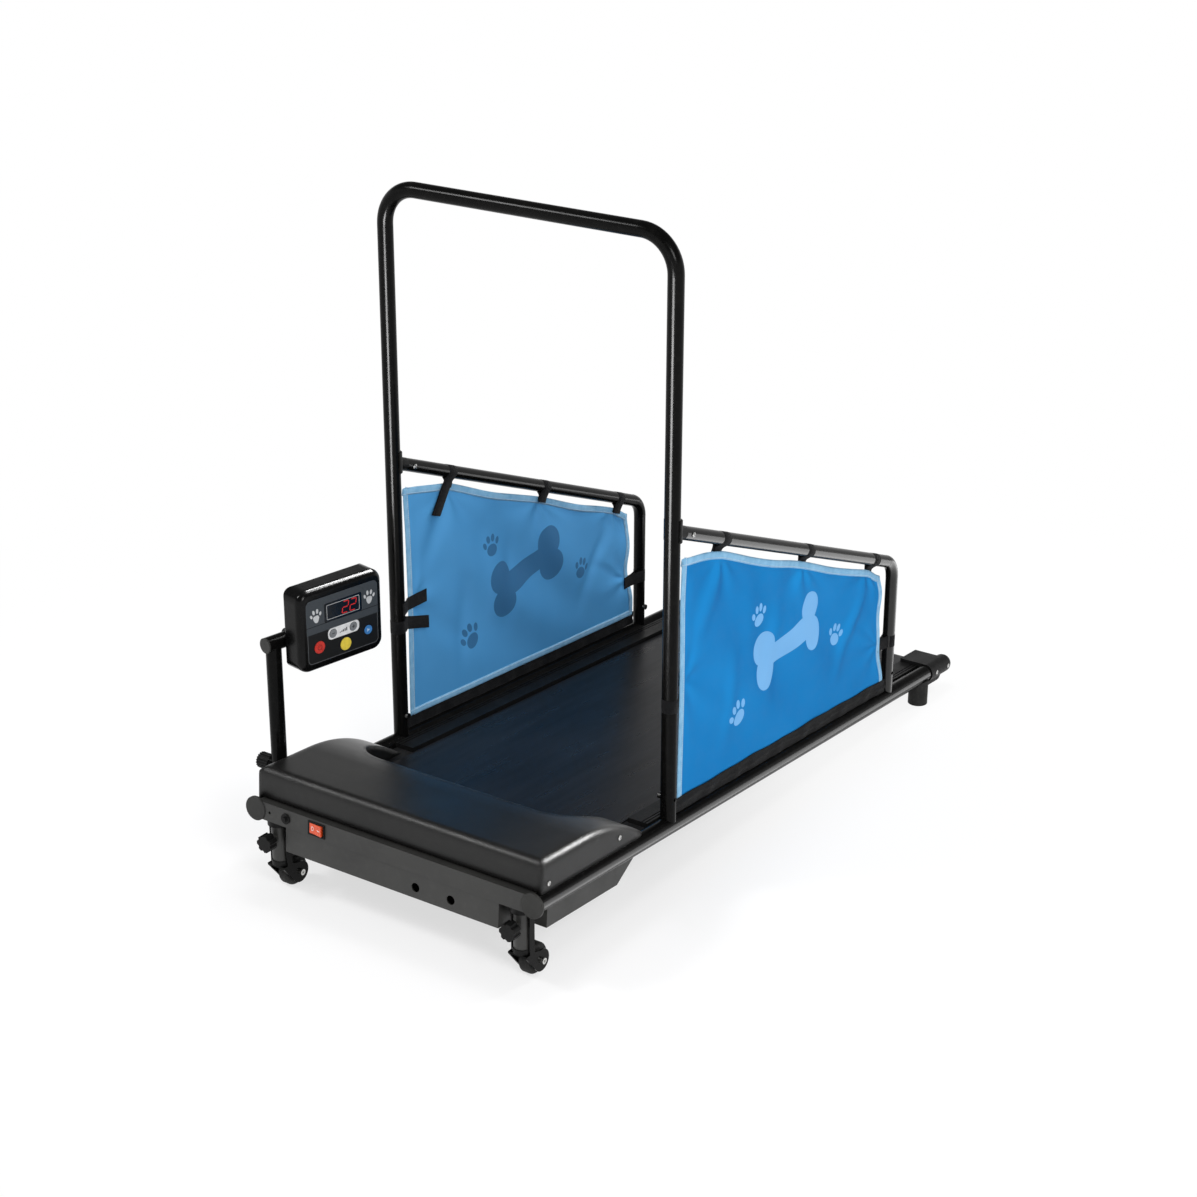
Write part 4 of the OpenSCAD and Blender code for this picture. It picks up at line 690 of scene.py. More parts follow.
def edgeFrame(run, t, step=0.004):  # point on the sheet's rim, the way into the sheet, and the sheet's normal
    u, share = edgeRuns[run](t)
    inU, inS = (min(max(part, step), 1 - step) for part in (u, share))
    alongU = clothPoint(inU + step, inS) - clothPoint(inU - step, inS)
    alongV = clothPoint(inU, inS + step) - clothPoint(inU, inS - step)
    normal = alongU.cross(alongV).normalized()
    if normal.x < 0:
        normal = -normal
    along = clothPoint(*edgeRuns[run](min(t + step, 1.0))) - clothPoint(*edgeRuns[run](max(t - step, 0.0)))
    inward, place = normal.cross(along).normalized(), clothPoint(u, share)
    if inward.dot(clothPoint(0.5, 0.5) - place) < 0:
        inward = -inward
    return place, inward, normal


def makeEdging(side, name):
    width, stand, steps = edgeTape["width"], edgeTape["stand"], edgeTape["steps"]
    outer = [(width * part, share) for part, share in edgeTape["shape"]]
    outer.append((edgeTape["lip"], edgeTape["lipStand"]))
    inner = [(edgeTape["turn"], 0.0)] + [(inset, -share) for inset, share in outer[::-1]]
    points, faces, cut = [], [], []
    for run in range(4):
        shape = outer + inner if run else inner  # the flap covers the lower edge outside
        start, count, long, last = len(points), len(shape), 0.0, None
        for i in range(steps + 1):
            place, inward, normal = edgeFrame(run, i / steps)
            long += (place - last).length if last is not None else 0.0
            last = place
            points += [toRow(place + inward * inset + normal * (share * stand), side)
                       for inset, share in shape]
            cut += [(long, k * edgeTape["cutStep"]) for k in range(count)]
        for i in range(steps):
            faces += bandFaces(start + i * count, count, closed=False)
    piece = newPiece(name, points, faces, "edgeTape")
    giveCut(piece, cut)
    giveWall(piece, edgeTape["wall"])
    return piece


stitchGroup = stitchTree()


def makeStitches(side, name):
    steps, inset = edgeTape["steps"], edgeTape["width"] - edgeTape["thread"]
    points, edges = [], []
    for run in range(4):
        for face in (1, -1) if run else (-1,):
            edges += [(len(points) + i, len(points) + i + 1) for i in range(steps)]
            for i in range(steps + 1):
                place, inward, normal = edgeFrame(run, i / steps)
                out = face * (edgeTape["stand"] + edgeTape["proud"])
                points.append(toRow(place + inward * inset + normal * out, side))
    return grow(newPiece(name, points, [], edges=edges), stitchGroup,
                {"Spacing": edgeTape["spacing"], "Length": edgeTape["stitch"], "Gauge": edgeTape["gauge"],
                 "Finish": finishes["paleThread"]})


# black hem flap that closes the gap between the cloth and the rail
hemFlap = {"above": 0.0400, "below": 0.0150, "stand": 0.0013, "thick": 0.0008, "steps": 300, "rows": 10,
           "from": -0.016, "to": 1.012, "waver": 0.0016, "ruck": 0.0016, "dip": -0.0008, "roll": 0.0016,
           "puff": 0.0016}


def flapStand(u, share):  # how far it stands off the cloth: rucks, one rolled fold and a soft puff
    look = hemFlap
    waves = (math.sin(58 * u) + 0.6 * math.sin(97 * u + 1.3)) * 0.6
    ruck = look["ruck"] * math.sin(math.pi * min(share + 0.15, 1.0)) * waves
    roll = look["roll"] * math.exp(-((share - 0.55 - 0.12 * math.sin(17 * u)) / 0.10) ** 2)
    puff = look["puff"] * math.sin(math.pi * share) * (1 + math.sin(23 * u + 0.4)) / 2
    return look["stand"] + max(ruck, look["dip"]) + roll + puff


def makeFlap(side, name):
    look, points, cut = hemFlap, [], []
    for j in range(look["rows"] + 1):
        for i in range(look["steps"] + 1):
            along, share = look["from"] + (look["to"] - look["from"]) * i / look["steps"], j / look["rows"]
            u = min(max(along, 0.0), 1.0)
            base = clothPoint(u, 0.0)
            y = base.y + (along - u) * screenLength
            top = look["above"] + look["waver"] * math.sin(31 * u + 0.5) * math.sin(13 * u)
            height = look["below"] + share * (top - look["below"])
            points.append(toRow((base.x + flapStand(u, share), y, railHeight(y) + height), side))
            cut.append((along * screenLength, height))
    piece = newPiece(name, points, gridFaces(look["steps"], look["rows"], side), "hemCloth")
    giveCut(piece, cut)
    giveWall(piece, look["thick"], 1.0)
    return piece


# hook-and-loop straps
strapWeb = {
    "width": 0.0225, "thick": 0.0017, "bevel": 0.0003, "gap": 0.0003, "inside": 0.0039,
    "arc": range(205, -66, -15), "neck": (0.72, 0.95), "tuck": (0.0035, 0.006),
    "barShares": (0.2, 0.57, 0.895), "barOver": 0.0062, "barSteps": 84, "tailDrop": 0.056, "shortTail": 0.008,
    "lean": 0.016, "postH": 0.326, "postTail": 0.052, "postOver": 0.0036, "postSteps": 96, "droop": 0.30,
    "droopFrom": 0.016, "upperRise": 0.031, "upperTurn": (-8, 8, 24), "upperOut": (-0.0066, -0.0034),
    "upperBend": (-0.0185, -0.027), "upperShort": 0.004, "upperSteps": 40, "uprightShare": 0.43,
    "uprightTail": 0.020, "uprightGap": 0.034, "uprightOver": 0.0034,
}


def smoothPath(points, count, fineness=12):  # even samples of a rounded line through 2-D points
    fine = []
    for i in range(len(points) - 1):
        p0, p1 = points[max(i - 1, 0)], points[i]
        p2, p3 = points[i + 1], points[min(i + 2, len(points) - 1)]
        for k in range(fineness):
            t = k / fineness
            fine.append(tuple(0.5 * (2 * b + (c - a) * t + (2 * a - 5 * b + 4 * c - d) * t * t
                                     + (3 * b - a - 3 * c + d) * t ** 3)
                              for a, b, c, d in zip(p0, p1, p2, p3)))
    fine.append(points[-1])
    gaps = [math.dist(a, b) for a, b in zip(fine, fine[1:])]
    total, out, at, run = sum(gaps), [], 0, 0.0
    for k in range(count + 1):
        goal = total * k / count
        while at < len(gaps) - 1 and run + gaps[at] < goal:
            run += gaps[at]
            at += 1
        t = min((goal - run) / max(gaps[at], 1e-9), 1.0)
        out.append(tuple(a + (b - a) * t for a, b in zip(fine[at], fine[at + 1])))
    return out


def webPart(path, place, made, side, slant=lambda run: 0.0):  # band swept along a 2-D path
    points, faces, cut = made
    half, thick, bevel = strapWeb["width"] / 2, strapWeb["thick"], strapWeb["bevel"]
    section = [(-half + bevel, 0), (half - bevel, 0), (half, bevel), (half, thick - bevel),
               (half - bevel, thick), (-half + bevel, thick), (-half, thick - bevel), (-half, bevel)]
    start, count, run = len(points), len(section), 0.0
    for i, (a, b) in enumerate(path):
        before, after = path[max(i - 1, 0)], path[min(i + 1, len(path) - 1)]
        da, db = after[0] - before[0], after[1] - before[1]
        size = math.hypot(da, db) or 1.0
        if i:
            run += math.dist(path[i - 1], path[i])
            faces += bandFaces(start + (i - 1) * count, count)
        for w, t in section:
            points.append(toRow(place(a + db / size * t, b - da / size * t, w + slant(run)), side))
            cut.append((run, w))
    last = start + (len(path) - 1) * count
    faces += [tuple(range(start, start + count))[::-1], tuple(range(last, last + count))]


def loopPath(radius, fall, end, over):  # up from a tail, round the tube and back on itself
    arc = [tuple(radius * part for part in turnOf(t)) for t in strapWeb["arc"]]
    inner, (out, down), (above, below) = -over + strapWeb["inside"], strapWeb["neck"], strapWeb["tuck"]
    return ([(-over, -end), (-over, -fall), (-radius * out, -radius * down)] + arc
            + [(inner, -fall + above), (inner, -fall - below)])


def makeStraps(side, name):
    web, made = strapWeb, ([], [], [])
    c, s = math.cos(barSlope), math.sin(barSlope)
    barRing, postRing = machine["barR"] + web["gap"], machine["hoopR"] + web["gap"]
    for index, share in enumerate(web["barShares"]):
        y = machine["hoopY"] + share * barRun
        axis = Vector((machine["railX"], y, barHeight(y)))
        fall = screenCut["topGap"] * c
        tail, lean = fall + web["shortTail"], 0.0
        if index == 0:  # the front strap's long tail hangs aslant
            tail, lean = fall + web["tailDrop"], web["lean"]

        def onBar(a, b, w):
            return axis + Vector((a, w * c + b * s, -w * s + b * c))

        def slant(run):
            return -lean * max(0.0, 1 - run / tail)
        path = loopPath(barRing, fall, tail, web["barOver"])
        webPart(smoothPath(path, web["barSteps"]), onBar, made, side, slant)
    post = Vector((machine["railX"], machine["hoopY"], web["postH"]))
    reach = screenCut["frontGap"] + web["postTail"]

    def onPost(a, b, w):
        return post + Vector((a, -b, w - web["droop"] * max(0.0, -b - web["droopFrom"])))

    def onUpper(a, b, w):
        return post + Vector((a, -b, w + web["upperRise"]))
    path = loopPath(postRing, screenCut["frontGap"], reach, web["postOver"])
    webPart(smoothPath(path, web["postSteps"]), onPost, made, side)
    path = [tuple(-postRing * part for part in turnOf(t)) for t in web["upperTurn"]]
    path += [*zip(web["upperOut"], web["upperBend"]), (web["upperOut"][1], -reach + web["upperShort"])]
    webPart(smoothPath(path, web["upperSteps"])[::-1], onUpper, made, side)
    foot, gap = railHeight(machine["barY"]), web["uprightGap"]
    height = foot + web["uprightShare"] * (machine["barLowH"] - foot)
    upright = Vector((machine["railX"], machine["barY"], height))

    def onUpright(a, b, w):
        return upright + Vector((a, b, w))
    path = loopPath(barRing, gap, gap + web["uprightTail"], web["uprightOver"])
    webPart(smoothPath(path, web["barSteps"]), onUpright, made, side)
    points, faces, cut = made
    piece = newPiece(name, points, faces, "hookTape")
    giveCut(piece, cut)
    return faceOutward(piece, gap=None)  # the map goes by its points


long, tall, area = flatSize()
for side, label in ((-1, "left"), (1, "right")):
    cloth = settle(makeCloth(side, label + "ScreenCloth"), "frame", "screen_cloth")
    edging = settle(makeEdging(side, label + "EdgeTape"), "frame", "screen_cloth")
    stitches = settle(makeStitches(side, label + "EdgeStitches"), "frame", "screen_cloth")
    flap = settle(makeFlap(side, label + "HemFlap"), "frame", "strap_web")
    straps = settle(makeStraps(side, label + "Straps"), "frame", "strap_web")
    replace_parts(cloth, label + "_screen")
    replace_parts(straps, "screen_straps")
print("screens hung, flat cut", [round(part, 3) for part in (long, tall, area)])


# cross slots in the pan heads
screwHeads = {
    "hood": ((0.033, 0.027), (0.218, 0.034)), "hoodX": 0.2774, "cap": (1.266, 1.312), "capX": 0.2864,
    "barAlong": 0.046, "barOut": 0.0134, "long": 0.0037, "wide": 0.0008, "rise": 0.00014,
}


def makeCrosses(name):
    look, points, facing = screwHeads, [], []
    barY = machine["hoopY"] + look["barAlong"] * math.cos(barSlope)
    spots = [(onDeck(look["hoodX"], y, z), 1) for y, z in look["hood"]]
    spots += [(onDeck(look["capX"], y, 0.0), 1) for y in look["cap"]]
    spots += [(Vector((machine["railX"] + way * look["barOut"], barY, barHeight(barY))), way)
              for way in (-1, 1)]
    for side in (-1, 1):
        points += [toRow(spot, side) for spot, way in spots]
        facing += [(side * way, 0.0, 0.0) for spot, way in spots]
    piece = newPiece(name, points, [])
    ways = piece.data.attributes.new("facing", "FLOAT_VECTOR", "POINT")
    for index, way in enumerate(facing):
        ways.data[index].vector = way
    return grow(piece, crossTree(), {"Long": look["long"], "Wide": look["wide"], "Rise": look["rise"],
                                     "Finish": finishes["darkInk"]})


settle(makeCrosses("screwCrosses"), "frame", "dark_steel")
print("screw heads slotted")


# square tubes under the deck, their ends mitred back beneath the rails
braceTube = {"along": (0.327, 0.717, 1.1386), "wide": 0.030, "top": -0.012, "low": -0.028, "round": 0.003,
             "reach": 0.2588, "mitre": 0.0135}


def makeBraces(name):
    look, points, faces = braceTube, [], []
    tall, mid = look["top"] - look["low"], (look["top"] + look["low"]) / 2
    section = roundRect(look["wide"], tall, look["round"], 0.0, mid, 4)
    count = len(section)
    for along in look["along"]:
        start = len(points)
        for end in (-1, 1):
            for y, z in section:
                x = look["reach"] - look["mitre"] * (look["top"] - z) / tall
                points.append(toRow(onDeck(end * x, along + y, z)))
        faces += bandFaces(start, count)
        faces += [tuple(range(start, start + count)), tuple(range(start + count, start + 2 * count))]
    return faceOutward(newPiece(name, points, faces, "tubePaint", smooth=False))


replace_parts(settle(makeBraces("deckBraces"), "frame", "frame_paint"), "cross_braces")

# console face: places across and up the printed film, in metres from its middle
consoleFace = {"tee": (-0.297, 0.093, 0.386), "turn": 79, "middle": (0.0918, -0.061, 0.0264), "ink": 0.00014,
               "capTop": 0.0008}


def facePoint(across, up, out):
    c, s = turnOf(consoleFace["turn"])
    along, deep, rise = consoleFace["middle"]
    along, deep = along + across, deep - out
    tee = consoleFace["tee"]
    return toRow((tee[0] + along * c - deep * s, tee[1] + along * s + deep * c, tee[2] + rise + up))


# moulded front of the console, its edge rolled over all the way round the corners
consoleBezel = {"wide": 0.167, "tall": 0.138, "corner": 0.020, "least": 0.002, "edge": 0.012, "deep": 0.029,
                "sink": 0.0003, "wall": 0.0025, "mouth": 0.018, "lift": 0.001, "guard": 0.0012, "turns": 12,
                "steps": 10, "crease": math.radians(35)}


def bezelRing(inset, out):
    look, ring = consoleBezel, []
    last = look["steps"]
    ways = ((0, 1), (-1, 0), (0, -1), (1, 0))
    bend = max(look["corner"] - inset, look["least"])
    outline = roundRect(look["wide"] - 2 * inset, look["tall"] - 2 * inset, bend, 0.0, look["lift"], last)
    for index, (x, y) in enumerate(outline):
        corner, step = divmod(index, last + 1)
        spots = [(x, y)]
        if step in (0, last):  # a guard point on the flat keeps its shading level
            slip = look["guard"] * (1 if step else -1)
            way = ways[(corner + (step == last)) % 4]
            spots.insert(1 if step else 0, (x + way[0] * slip, y + way[1] * slip))
        ring += [facePoint(across, up, out) for across, up in spots]
    return ring


def makeBezel(name):
    look = consoleBezel
    edge, wall, sink, mouth = look["edge"], look["wall"], look["sink"], look["mouth"]
    arc = [turnOf(90 * k / look["turns"]) for k in range(look["turns"] + 1)]
    profile = [(0.0, -look["deep"]), (0.0, -sink - edge - look["guard"])]
    profile += [(edge * (1 - c), -sink - edge * (1 - s)) for c, s in arc]
    profile += [(edge + look["guard"], -sink), (mouth, -sink), (mouth, -sink - wall)]
    inner = edge - wall
    profile += [(wall + inner * (1 - c), -sink - wall - inner * (1 - s)) for c, s in arc[::-1]]
    profile.append((wall, -look["deep"]))
    rings = [bezelRing(*spot) for spot in profile + profile[:1]]
    count = len(rings[0])
    faces = [face for i in range(len(profile)) for face in bandFaces(i * count, count)]
    piece = faceOutward(newPiece(name, [point for ring in rings for point in ring], faces, "consoleSkin"))
    piece.data.set_sharp_from_angle(angle=look["crease"])
    return piece


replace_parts(settle(makeBezel("consoleBezel"), "console", "console_plastic"), "console_front")


def inkShapes(name, shapes, finish, lift, place=facePoint):  # flat prints: outlines, each with its holes
    points, faces = [], []
    thick = consoleFace["ink"]
    for loops in shapes:
        flat = [point for loop in loops for point in loop]
        start, count = len(points), len(flat)
        for out in (lift + thick, lift - thick / 2):
            points += [place(x, y, out) for x, y in flat]
        for tri in tessellate_polygon([[Vector((x, y, 0)) for x, y in loop] for loop in loops]):
            faces.append(tuple(start + k for k in tri))
            faces.append(tuple(start + count + k for k in reversed(tri)))
        for loop in loops:
            for k in range(len(loop)):
                a, b = start + k, start + (k + 1) % len(loop)
                faces.append((a, b, b + count, a + count))
            start += len(loop)
    return faceOutward(newPiece(name, points, faces, finish, smooth=False))


def oval(x, y, rx, ry, turn=0.0, steps=28):
    c, s = turnOf(turn)
    spots = [(rx * a, ry * b) for a, b in (turnOf(360 * k / steps) for k in range(steps))]
    return [(x + a * c - b * s, y + a * s + b * c) for a, b in spots]


def barShape(x0, y0, x1, y1, w):
    long = math.hypot(x1 - x0, y1 - y0)
    px, py = -(y1 - y0) / long * w / 2, (x1 - x0) / long * w / 2
    return [[(x0 + px, y0 + py), (x0 - px, y0 - py), (x1 - px, y1 - py), (x1 + px, y1 + py)]]


# pill: width, height, corner, place; steps: minus and plus across, up, radius
# digit: width, height, bar, lean; power mark: ring's radii, then bar's foot, top and width
facePrint = {
    "overlay": (0.143, 0.108, 0.009), "rim": 0.0009, "rimTop": -0.0029, "rimIn": 0.0024,
    "paw": 0.0112, "paws": ((-0.0524, 0.0262, 6), (0.0546, 0.0284, -3)),
    "toes": ((-0.80, 0.16, 0.19, 0.30, 20), (-0.32, 0.66, 0.20, 0.36, 8), (0.32, 0.66, 0.20, 0.36, -8),
             (0.80, 0.16, 0.19, 0.30, -20)),
    "pill": (0.0624, 0.0190, 0.0070, 0.0011, -0.0124), "steps": (-0.0199, 0.0206, -0.0122, 0.0076),
    "gauge": {"x": -0.0068, "y": -0.0152, "pitch": 0.0032, "wide": 0.0020, "low": 0.0016, "rise": 0.0010,
              "bars": 5},
    "window": (0.0018, 0.0256), "pane": (0.0660, 0.0252, 0.0018), "paneLine": 0.0012,
    "digit": (0.0110, 0.0190, 0.0016, 0.16), "digitGap": 0.0005, "digitsAt": (0.0046, 0.0200),
    "power": (-0.0477, -0.0278), "blue": (0.0501, -0.0269), "sign": 0.0030, "signLine": 0.0013,
    "powerRing": (0.0046, 0.0034), "powerTurn": range(125, 416, 10), "powerBar": (0.0012, 0.0054, 0.0012),
    "arrow": (0.0024, 0.0032, 0.0028),
}


def pawShapes(x, y, size, turn):
    c, s = turnOf(turn)

    def at(a, b):
        return x + size * (a * c - b * s), y + size * (a * s + b * c)
    pad = []
    for k in range(36):
        t = 2 * math.pi * k / 36
        r = 0.50 + 0.05 * math.cos(3 * t - math.pi / 2) - 0.04 * math.sin(t)
        pad.append(at(r * math.cos(t) * 1.02, -0.38 + r * math.sin(t) * 1.12))
    toes = [[oval(*at(a, b), rx * size, ry * size, turn + lean, 20)]
            for a, b, rx, ry, lean in facePrint["toes"]]
    return [[pad]] + toes


def rimOutline():  # thin light edge line round the film's black half
    w, h, r = facePrint["overlay"]
    line, top, inset = facePrint["rim"], facePrint["rimTop"], facePrint["rimIn"]
    rims = []
    for cut in (0.0, line):
        ring = roundRect(w - inset - 2 * cut, h - inset - 2 * cut, r - inset / 2 - cut, steps=10)
        rims.append([spot for spot in ring[len(ring) // 2:] if spot[1] < top])  # its lower half
    outer, inner = rims
    left, right = (w - inset) / 2, (w - inset) / 2 - line
    return [[(-left, top)] + outer + [(left, top), (right, top)] + inner[::-1] + [(-right, top)]]


def digitShapes(x, y, lit):  # seven slanted bars
    w, h, t, lean = facePrint["digit"]
    spots = {"a": (0, h / 2, 1), "g": (0, 0, 1), "d": (0, -h / 2, 1), "b": (w / 2, h / 4, 0),
             "c": (w / 2, -h / 4, 0), "f": (-w / 2, h / 4, 0), "e": (-w / 2, -h / 4, 0)}
    shapes = []
    for name in lit:
        sx, sy, flat = spots[name]
        half = (w if flat else h / 2) / 2 - facePrint["digitGap"]
        ends = ((-half, 0), (-half + t / 2, t / 2), (half - t / 2, t / 2), (half, 0), (half - t / 2, -t / 2),
                (-half + t / 2, -t / 2))
        outline = [(sx + a, sy + b) if flat else (sx + b, sy + a) for a, b in ends]
        shapes.append([[(x + a + lean * b, y + b) for a, b in outline]])
    return shapes


def gaugeShapes(look):  # rising bars
    bars = [(look["x"] + k * look["pitch"], look["low"] + k * look["rise"]) for k in range(look["bars"])]
    y, wide = look["y"], look["wide"]
    return [[[(x, y), (x + wide, y), (x + wide, y + tall), (x, y + tall)]] for x, tall in bars]


def signShapes(x, y, upright):  # minus, or plus where it has an upright bar
    reach, line = facePrint["sign"], facePrint["signLine"]
    flat = [barShape(x - reach, y, x + reach, y, line)]
    return flat + [barShape(x, y - reach, x, y + reach, line)] if upright else flat


def powerShapes(x, y):  # an open ring and a short bar
    turns = [turnOf(t) for t in facePrint["powerTurn"]]
    outer, inner = ([(x + r * c, y + r * s) for c, s in turns] for r in facePrint["powerRing"])
    foot, top, wide = facePrint["powerBar"]
    return [[outer + inner[::-1]], barShape(x, y + foot, x, y + top, wide)]


def arrowShapes(x, y):
    tail, tip, half = facePrint["arrow"]
    return [[[(x - tail, y - half), (x + tip, y), (x - tail, y + half)]]]


pillW, pillH, pillR, pillX, pillY = facePrint["pill"]
minusX, plusX, stepY, stepR = facePrint["steps"]
windowX, windowY = facePrint["window"]
paneW, paneH, paneR = facePrint["pane"]
lineIn = facePrint["paneLine"]
pill = [[roundRect(pillW, pillH, pillR, pillX, pillY), oval(minusX, stepY, stepR, stepR, 0, 40),
         oval(plusX, stepY, stepR, stepR, 0, 40)]]
pane = [[roundRect(paneW, paneH, paneR, windowX, windowY),
         roundRect(paneW - 2 * lineIn, paneH - 2 * lineIn, paneR - lineIn, windowX, windowY)]]
paws = [shape for x, y, turn in facePrint["paws"] for shape in pawShapes(x, y, facePrint["paw"], turn)]
led = [shape for x in facePrint["digitsAt"] for shape in digitShapes(windowX + x, windowY, "abged")]
capTop = consoleFace["capTop"]
prints = (
    ("faceRim", [rimOutline()], "edgeInk", 0.0, "console", "overlay_film"),
    ("facePaws", paws, "pawInk", 0.0, "console", "overlay_film"),
    ("facePill", pill, "whiteInk", 0.0, "console", "overlay_film"),
    ("faceGauge", gaugeShapes(facePrint["gauge"]), "darkInk", consoleFace["ink"], "console", "overlay_film"),
    ("windowFrame", pane, "frameInk", 0.0, "console", "display"),
    ("windowDigits", led, "ledGlow", 0.0, "console", "display"),
    ("powerMark", powerShapes(*facePrint["power"]), "deepRedInk", capTop, "power_button", "red_plastic"),
    ("minusMark", signShapes(minusX, stepY, False), "darkInk", capTop, "minus_button", "grey_plastic"),
    ("plusMark", signShapes(plusX, stepY, True), "darkInk", capTop, "plus_button", "grey_plastic"),
    ("blueMark", arrowShapes(*facePrint["blue"]), "skyInk", capTop, "blue_button", "blue_plastic"),
)
for name, shapes, finish, lift, body, slot in prints:
    settle(inkShapes(name, shapes, finish, lift), body, slot)
print("console face printed")


# switch marks on the rocker, which rests tipped to one side; ring: place and radii, bar: ends and width
rockerFace = {"x": -0.143, "y": 0.006, "tip": -8, "nose": 0.007, "dip": 0.0008, "half": 0.0129,
              "ring": (-0.0066, ((0.0027, 0.0036), (0.0019, 0.0028))), "bar": (0.0036, 0.0096, 0.0011)}


def rockerPoint(across, up, out):
    look = rockerFace
    c, s = turnOf(look["tip"])
    x, y = across, -(look["nose"] - look["dip"] * (1 - abs(across) / look["half"]) + out)
    return toRow(onDeck(look["x"] + x * c - y * s, look["y"] + x * s + y * c, up))


ringX, radii = rockerFace["ring"]
barFrom, barTo, barWide = rockerFace["bar"]
rockerMarks = [[oval(ringX, 0.0, *pair, 0, 32) for pair in radii],
               barShape(barFrom, 0.0, barTo, 0.0, barWide)]
settle(inkShapes("rockerMarks", rockerMarks, "whiteInk", 0.0, rockerPoint), "rocker", "orange_plastic")

# camera, fitted to points of the photograph; its centre counts in half the rails' spacing
photoView = {"yaw": 34.48, "pitch": 22.77, "roll": 0.15, "focal": 2434.0, "pixels": 1197.0, "sensor": 36.0,
             "centre": (1.189, 1.452, 13.74)}
turns = (turnOf(photoView[part]) for part in ("yaw", "pitch", "roll"))
(yawC, yawS), (pitchC, pitchS), (rollC, rollS) = turns
back = Vector((yawS * pitchC, -yawC * pitchC, pitchS))
level = Vector((yawC, yawS, 0.0))
plumb = back.cross(level)
right, up = rollC * level + rollS * plumb, rollC * plumb - rollS * level
spot = sum((axis * share for axis, share in zip((right, up, back), photoView["centre"])), Vector())
cameraData = bpy.data.cameras.new("photoCamera")
cameraData.sensor_width = photoView["sensor"]
cameraData.lens = photoView["sensor"] * photoView["focal"] / photoView["pixels"]
camera = addObject("photoCamera", cameraData)
place = toRow(spot * machine["railX"] + Vector((0, 0, machine["frontH"])))
camera.matrix_world = Matrix.Translation(place) @ Matrix((right, up, back)).transposed().to_4x4()
bpy.context.scene.camera = camera

# pale floor and soft studio light; lamps: name, place, aim, size, power, lights more than gloss
studio = {
    "floor": (0.94, 0.94, 0.95), "floorHalf": 60.0, "wheels": (0.0, -0.55, 0.0),
    "shade": (0.30, 0.95, 0.66, 0.88), "edge": (0.72, 1.7), "fill": 0.36, "ceiling": 0.16,
    "dome": (0.16, 0.38),
    "lamps": (("keyLamp", (2.9, -2.2, 2.6), (0.0, 0.0, 0.35), (1.2, 1.2), 75.0, True),
              ("leftLamp", (-1.9, -2.2, 2.9), (0.0, -0.3, 0.3), (0.7, 0.7), 50.0, True),
              ("rearLamp", (1.3, 3.1, 2.9), (0.0, 0.0, 0.4), (0.8, 0.8), 55.0, True),
              ("topLamp", (-0.3, 0.6, 3.8), (0.0, 0.2, 0.0), (1.2, 1.2), 45.0, True),
              ("postGlint", (0.30, -1.55, 0.36), (0.30, 0.0, 0.36), (0.55, 0.68), 82.0, False),
              ("sideGlint", (1.85, 0.9, 0.012), (1.85, 0.9, 1.0), (3.0, 3.0), 150.0, False),
              ("hoodGlint", (1.5, 2.6, 2.2), (0.27, 0.0, 0.5), (1.0, 0.5), 220.0, False),
              ("consoleGlint", (-0.16, 0.84, 1.913), (-0.207, -0.48, 0.413), (1.2, 0.5), 200.0, False)),
    "glints": {"postGlint": "handle_hoop left_side_bar right_side_bar",
               "sideGlint": "left_side_bar right_side_bar right_rail",
               "hoodGlint": "motor_hood", "consoleGlint": "consoleBezel console_back"},
    "unseen": ("rearLamp", "topLamp"),  # these light the part but don't mirror in it
}


def seenDirectly(tree):  # 1 for rays that show the background itself
    path = tree.nodes.new("ShaderNodeLightPath")
    seen = sums(tree, "MAXIMUM", path.outputs["Is Camera Ray"], path.outputs["Is Glossy Ray"])
    return sums(tree, "MAXIMUM", seen, path.outputs["Is Transmission Ray"])


def smoothRange(tree, value, start, end, low, high):
    sockets = {"From Min": start, "From Max": end, "To Min": low, "To Max": high}
    fade = addNode(tree, "ShaderNodeMapRange", sockets, interpolation_type="SMOOTHSTEP")
    tree.links.new(value, fade.inputs["Value"])
    return fade.outputs["Result"]


def farFrom(tree, spot, near, far, low, high):  # grows with the distance from a spot on the floor
    reach = addNode(tree, "ShaderNodeVectorMath", {1: spot}, operation="DISTANCE")
    tree.links.new(objectPoint(tree), reach.inputs[0])
    return smoothRange(tree, reach.outputs["Value"], near, far, low, high)


finishes["paleFloor"], tree, shader = newFinish("paleFloor")
tree.nodes.remove(shader)
matt = addNode(tree, "ShaderNodeBsdfDiffuse", {"Color": (*studio["floor"], 1.0)})
glow = addNode(tree, "ShaderNodeEmission", {"Color": (1.0, 1.0, 1.0, 1.0), "Strength": 1.0})
mixed = tree.nodes.new("ShaderNodeMixShader")
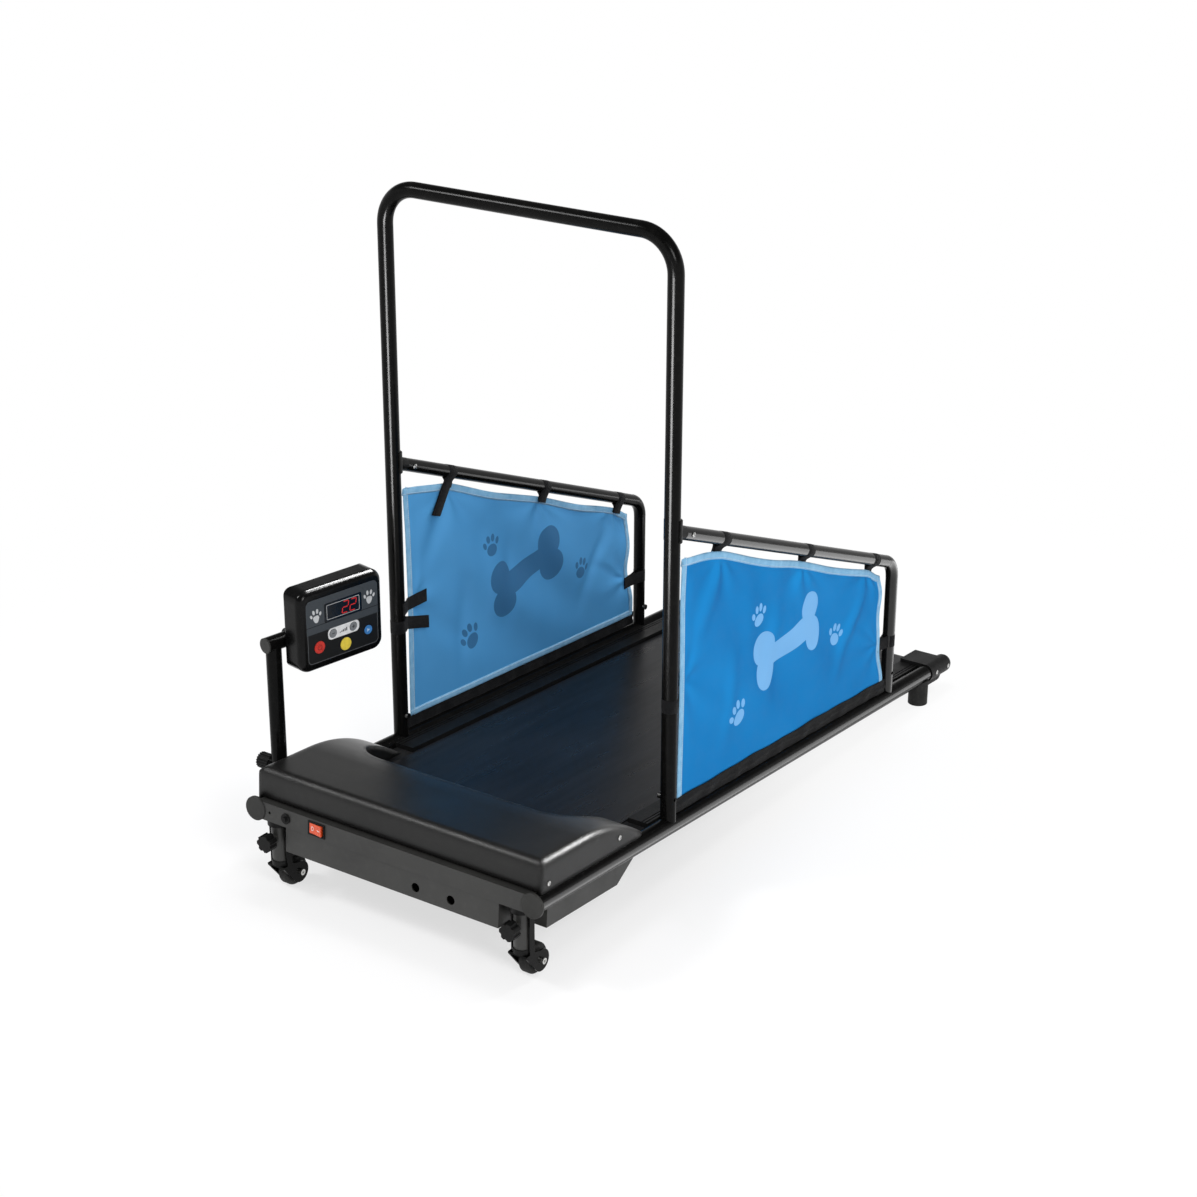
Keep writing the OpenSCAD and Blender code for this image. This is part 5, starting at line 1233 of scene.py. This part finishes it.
# the shadow is deepest at the wheels and fades towards the rear and the floor's far edge
shade = farFrom(tree, studio["wheels"], *studio["shade"])
away = farFrom(tree, (0.0, 0.0, 0.0), *studio["edge"], 0.0, 1.0)
fade = sums(tree, "ADD", shade, sums(tree, "MULTIPLY", sums(tree, "SUBTRACT", 1.0, shade), away))
seen = sums(tree, "MULTIPLY", seenDirectly(tree), fade)
joinAll(tree, (seen, mixed.inputs[0]), (matt.outputs[0], mixed.inputs[1]), (glow.outputs[0], mixed.inputs[2]),
        (mixed.outputs[0], tree.nodes["Material Output"].inputs["Surface"]))
half = studio["floorHalf"]
corners = [(-half, -half, 0), (half, -half, 0), (half, half, 0), (-half, half, 0)]
newPiece("floor", corners, [(0, 1, 2, 3)], "paleFloor", smooth=False)

world = bpy.data.worlds.new("softRoom")
bpy.context.scene.world = world
world.use_nodes = True
tree = world.node_tree
sky = tree.nodes["Background"]
sky.inputs["Color"].default_value = (1.0, 1.0, 1.0, 1.0)
heading = addNode(tree, "ShaderNodeSeparateXYZ")
room = addNode(tree, "ShaderNodeMix", {"A": studio["fill"]})
dome = smoothRange(tree, heading.outputs["Z"], *studio["dome"], 1.0, studio["ceiling"])
joinAll(tree, (objectPoint(tree), heading.inputs[0]),  # the room's own axes
        (seenDirectly(tree), room.inputs["Factor"]), (dome, room.inputs["B"]),
        (room.outputs["Result"], sky.inputs["Strength"]))
for name, place, aim, size, power, full in studio["lamps"]:
    light = bpy.data.lights.new(name, "AREA")
    light.shape, light.size, light.size_y, light.energy = "RECTANGLE", size[0], size[1], power
    lamp = addObject(name, light)
    lamp.location = place
    lamp.rotation_euler = (Vector(aim) - Vector(place)).to_track_quat("-Z", "Y").to_euler()
    lamp.visible_camera = False
    lamp.visible_diffuse = full  # a glint shows only in glossy skins
    lamp.visible_glossy = name not in studio["unseen"]
    if name in studio["glints"]:
        takers = bpy.data.collections.new(name + "Takers")
        for taker in studio["glints"][name].split():
            takers.objects.link(nodes[taker] if taker in nodes else bpy.data.objects[taker])
        lamp.light_linking.receiver_collection = takers
bpy.context.scene.view_settings.view_transform = "Standard"
print("camera, floor and lamps set")
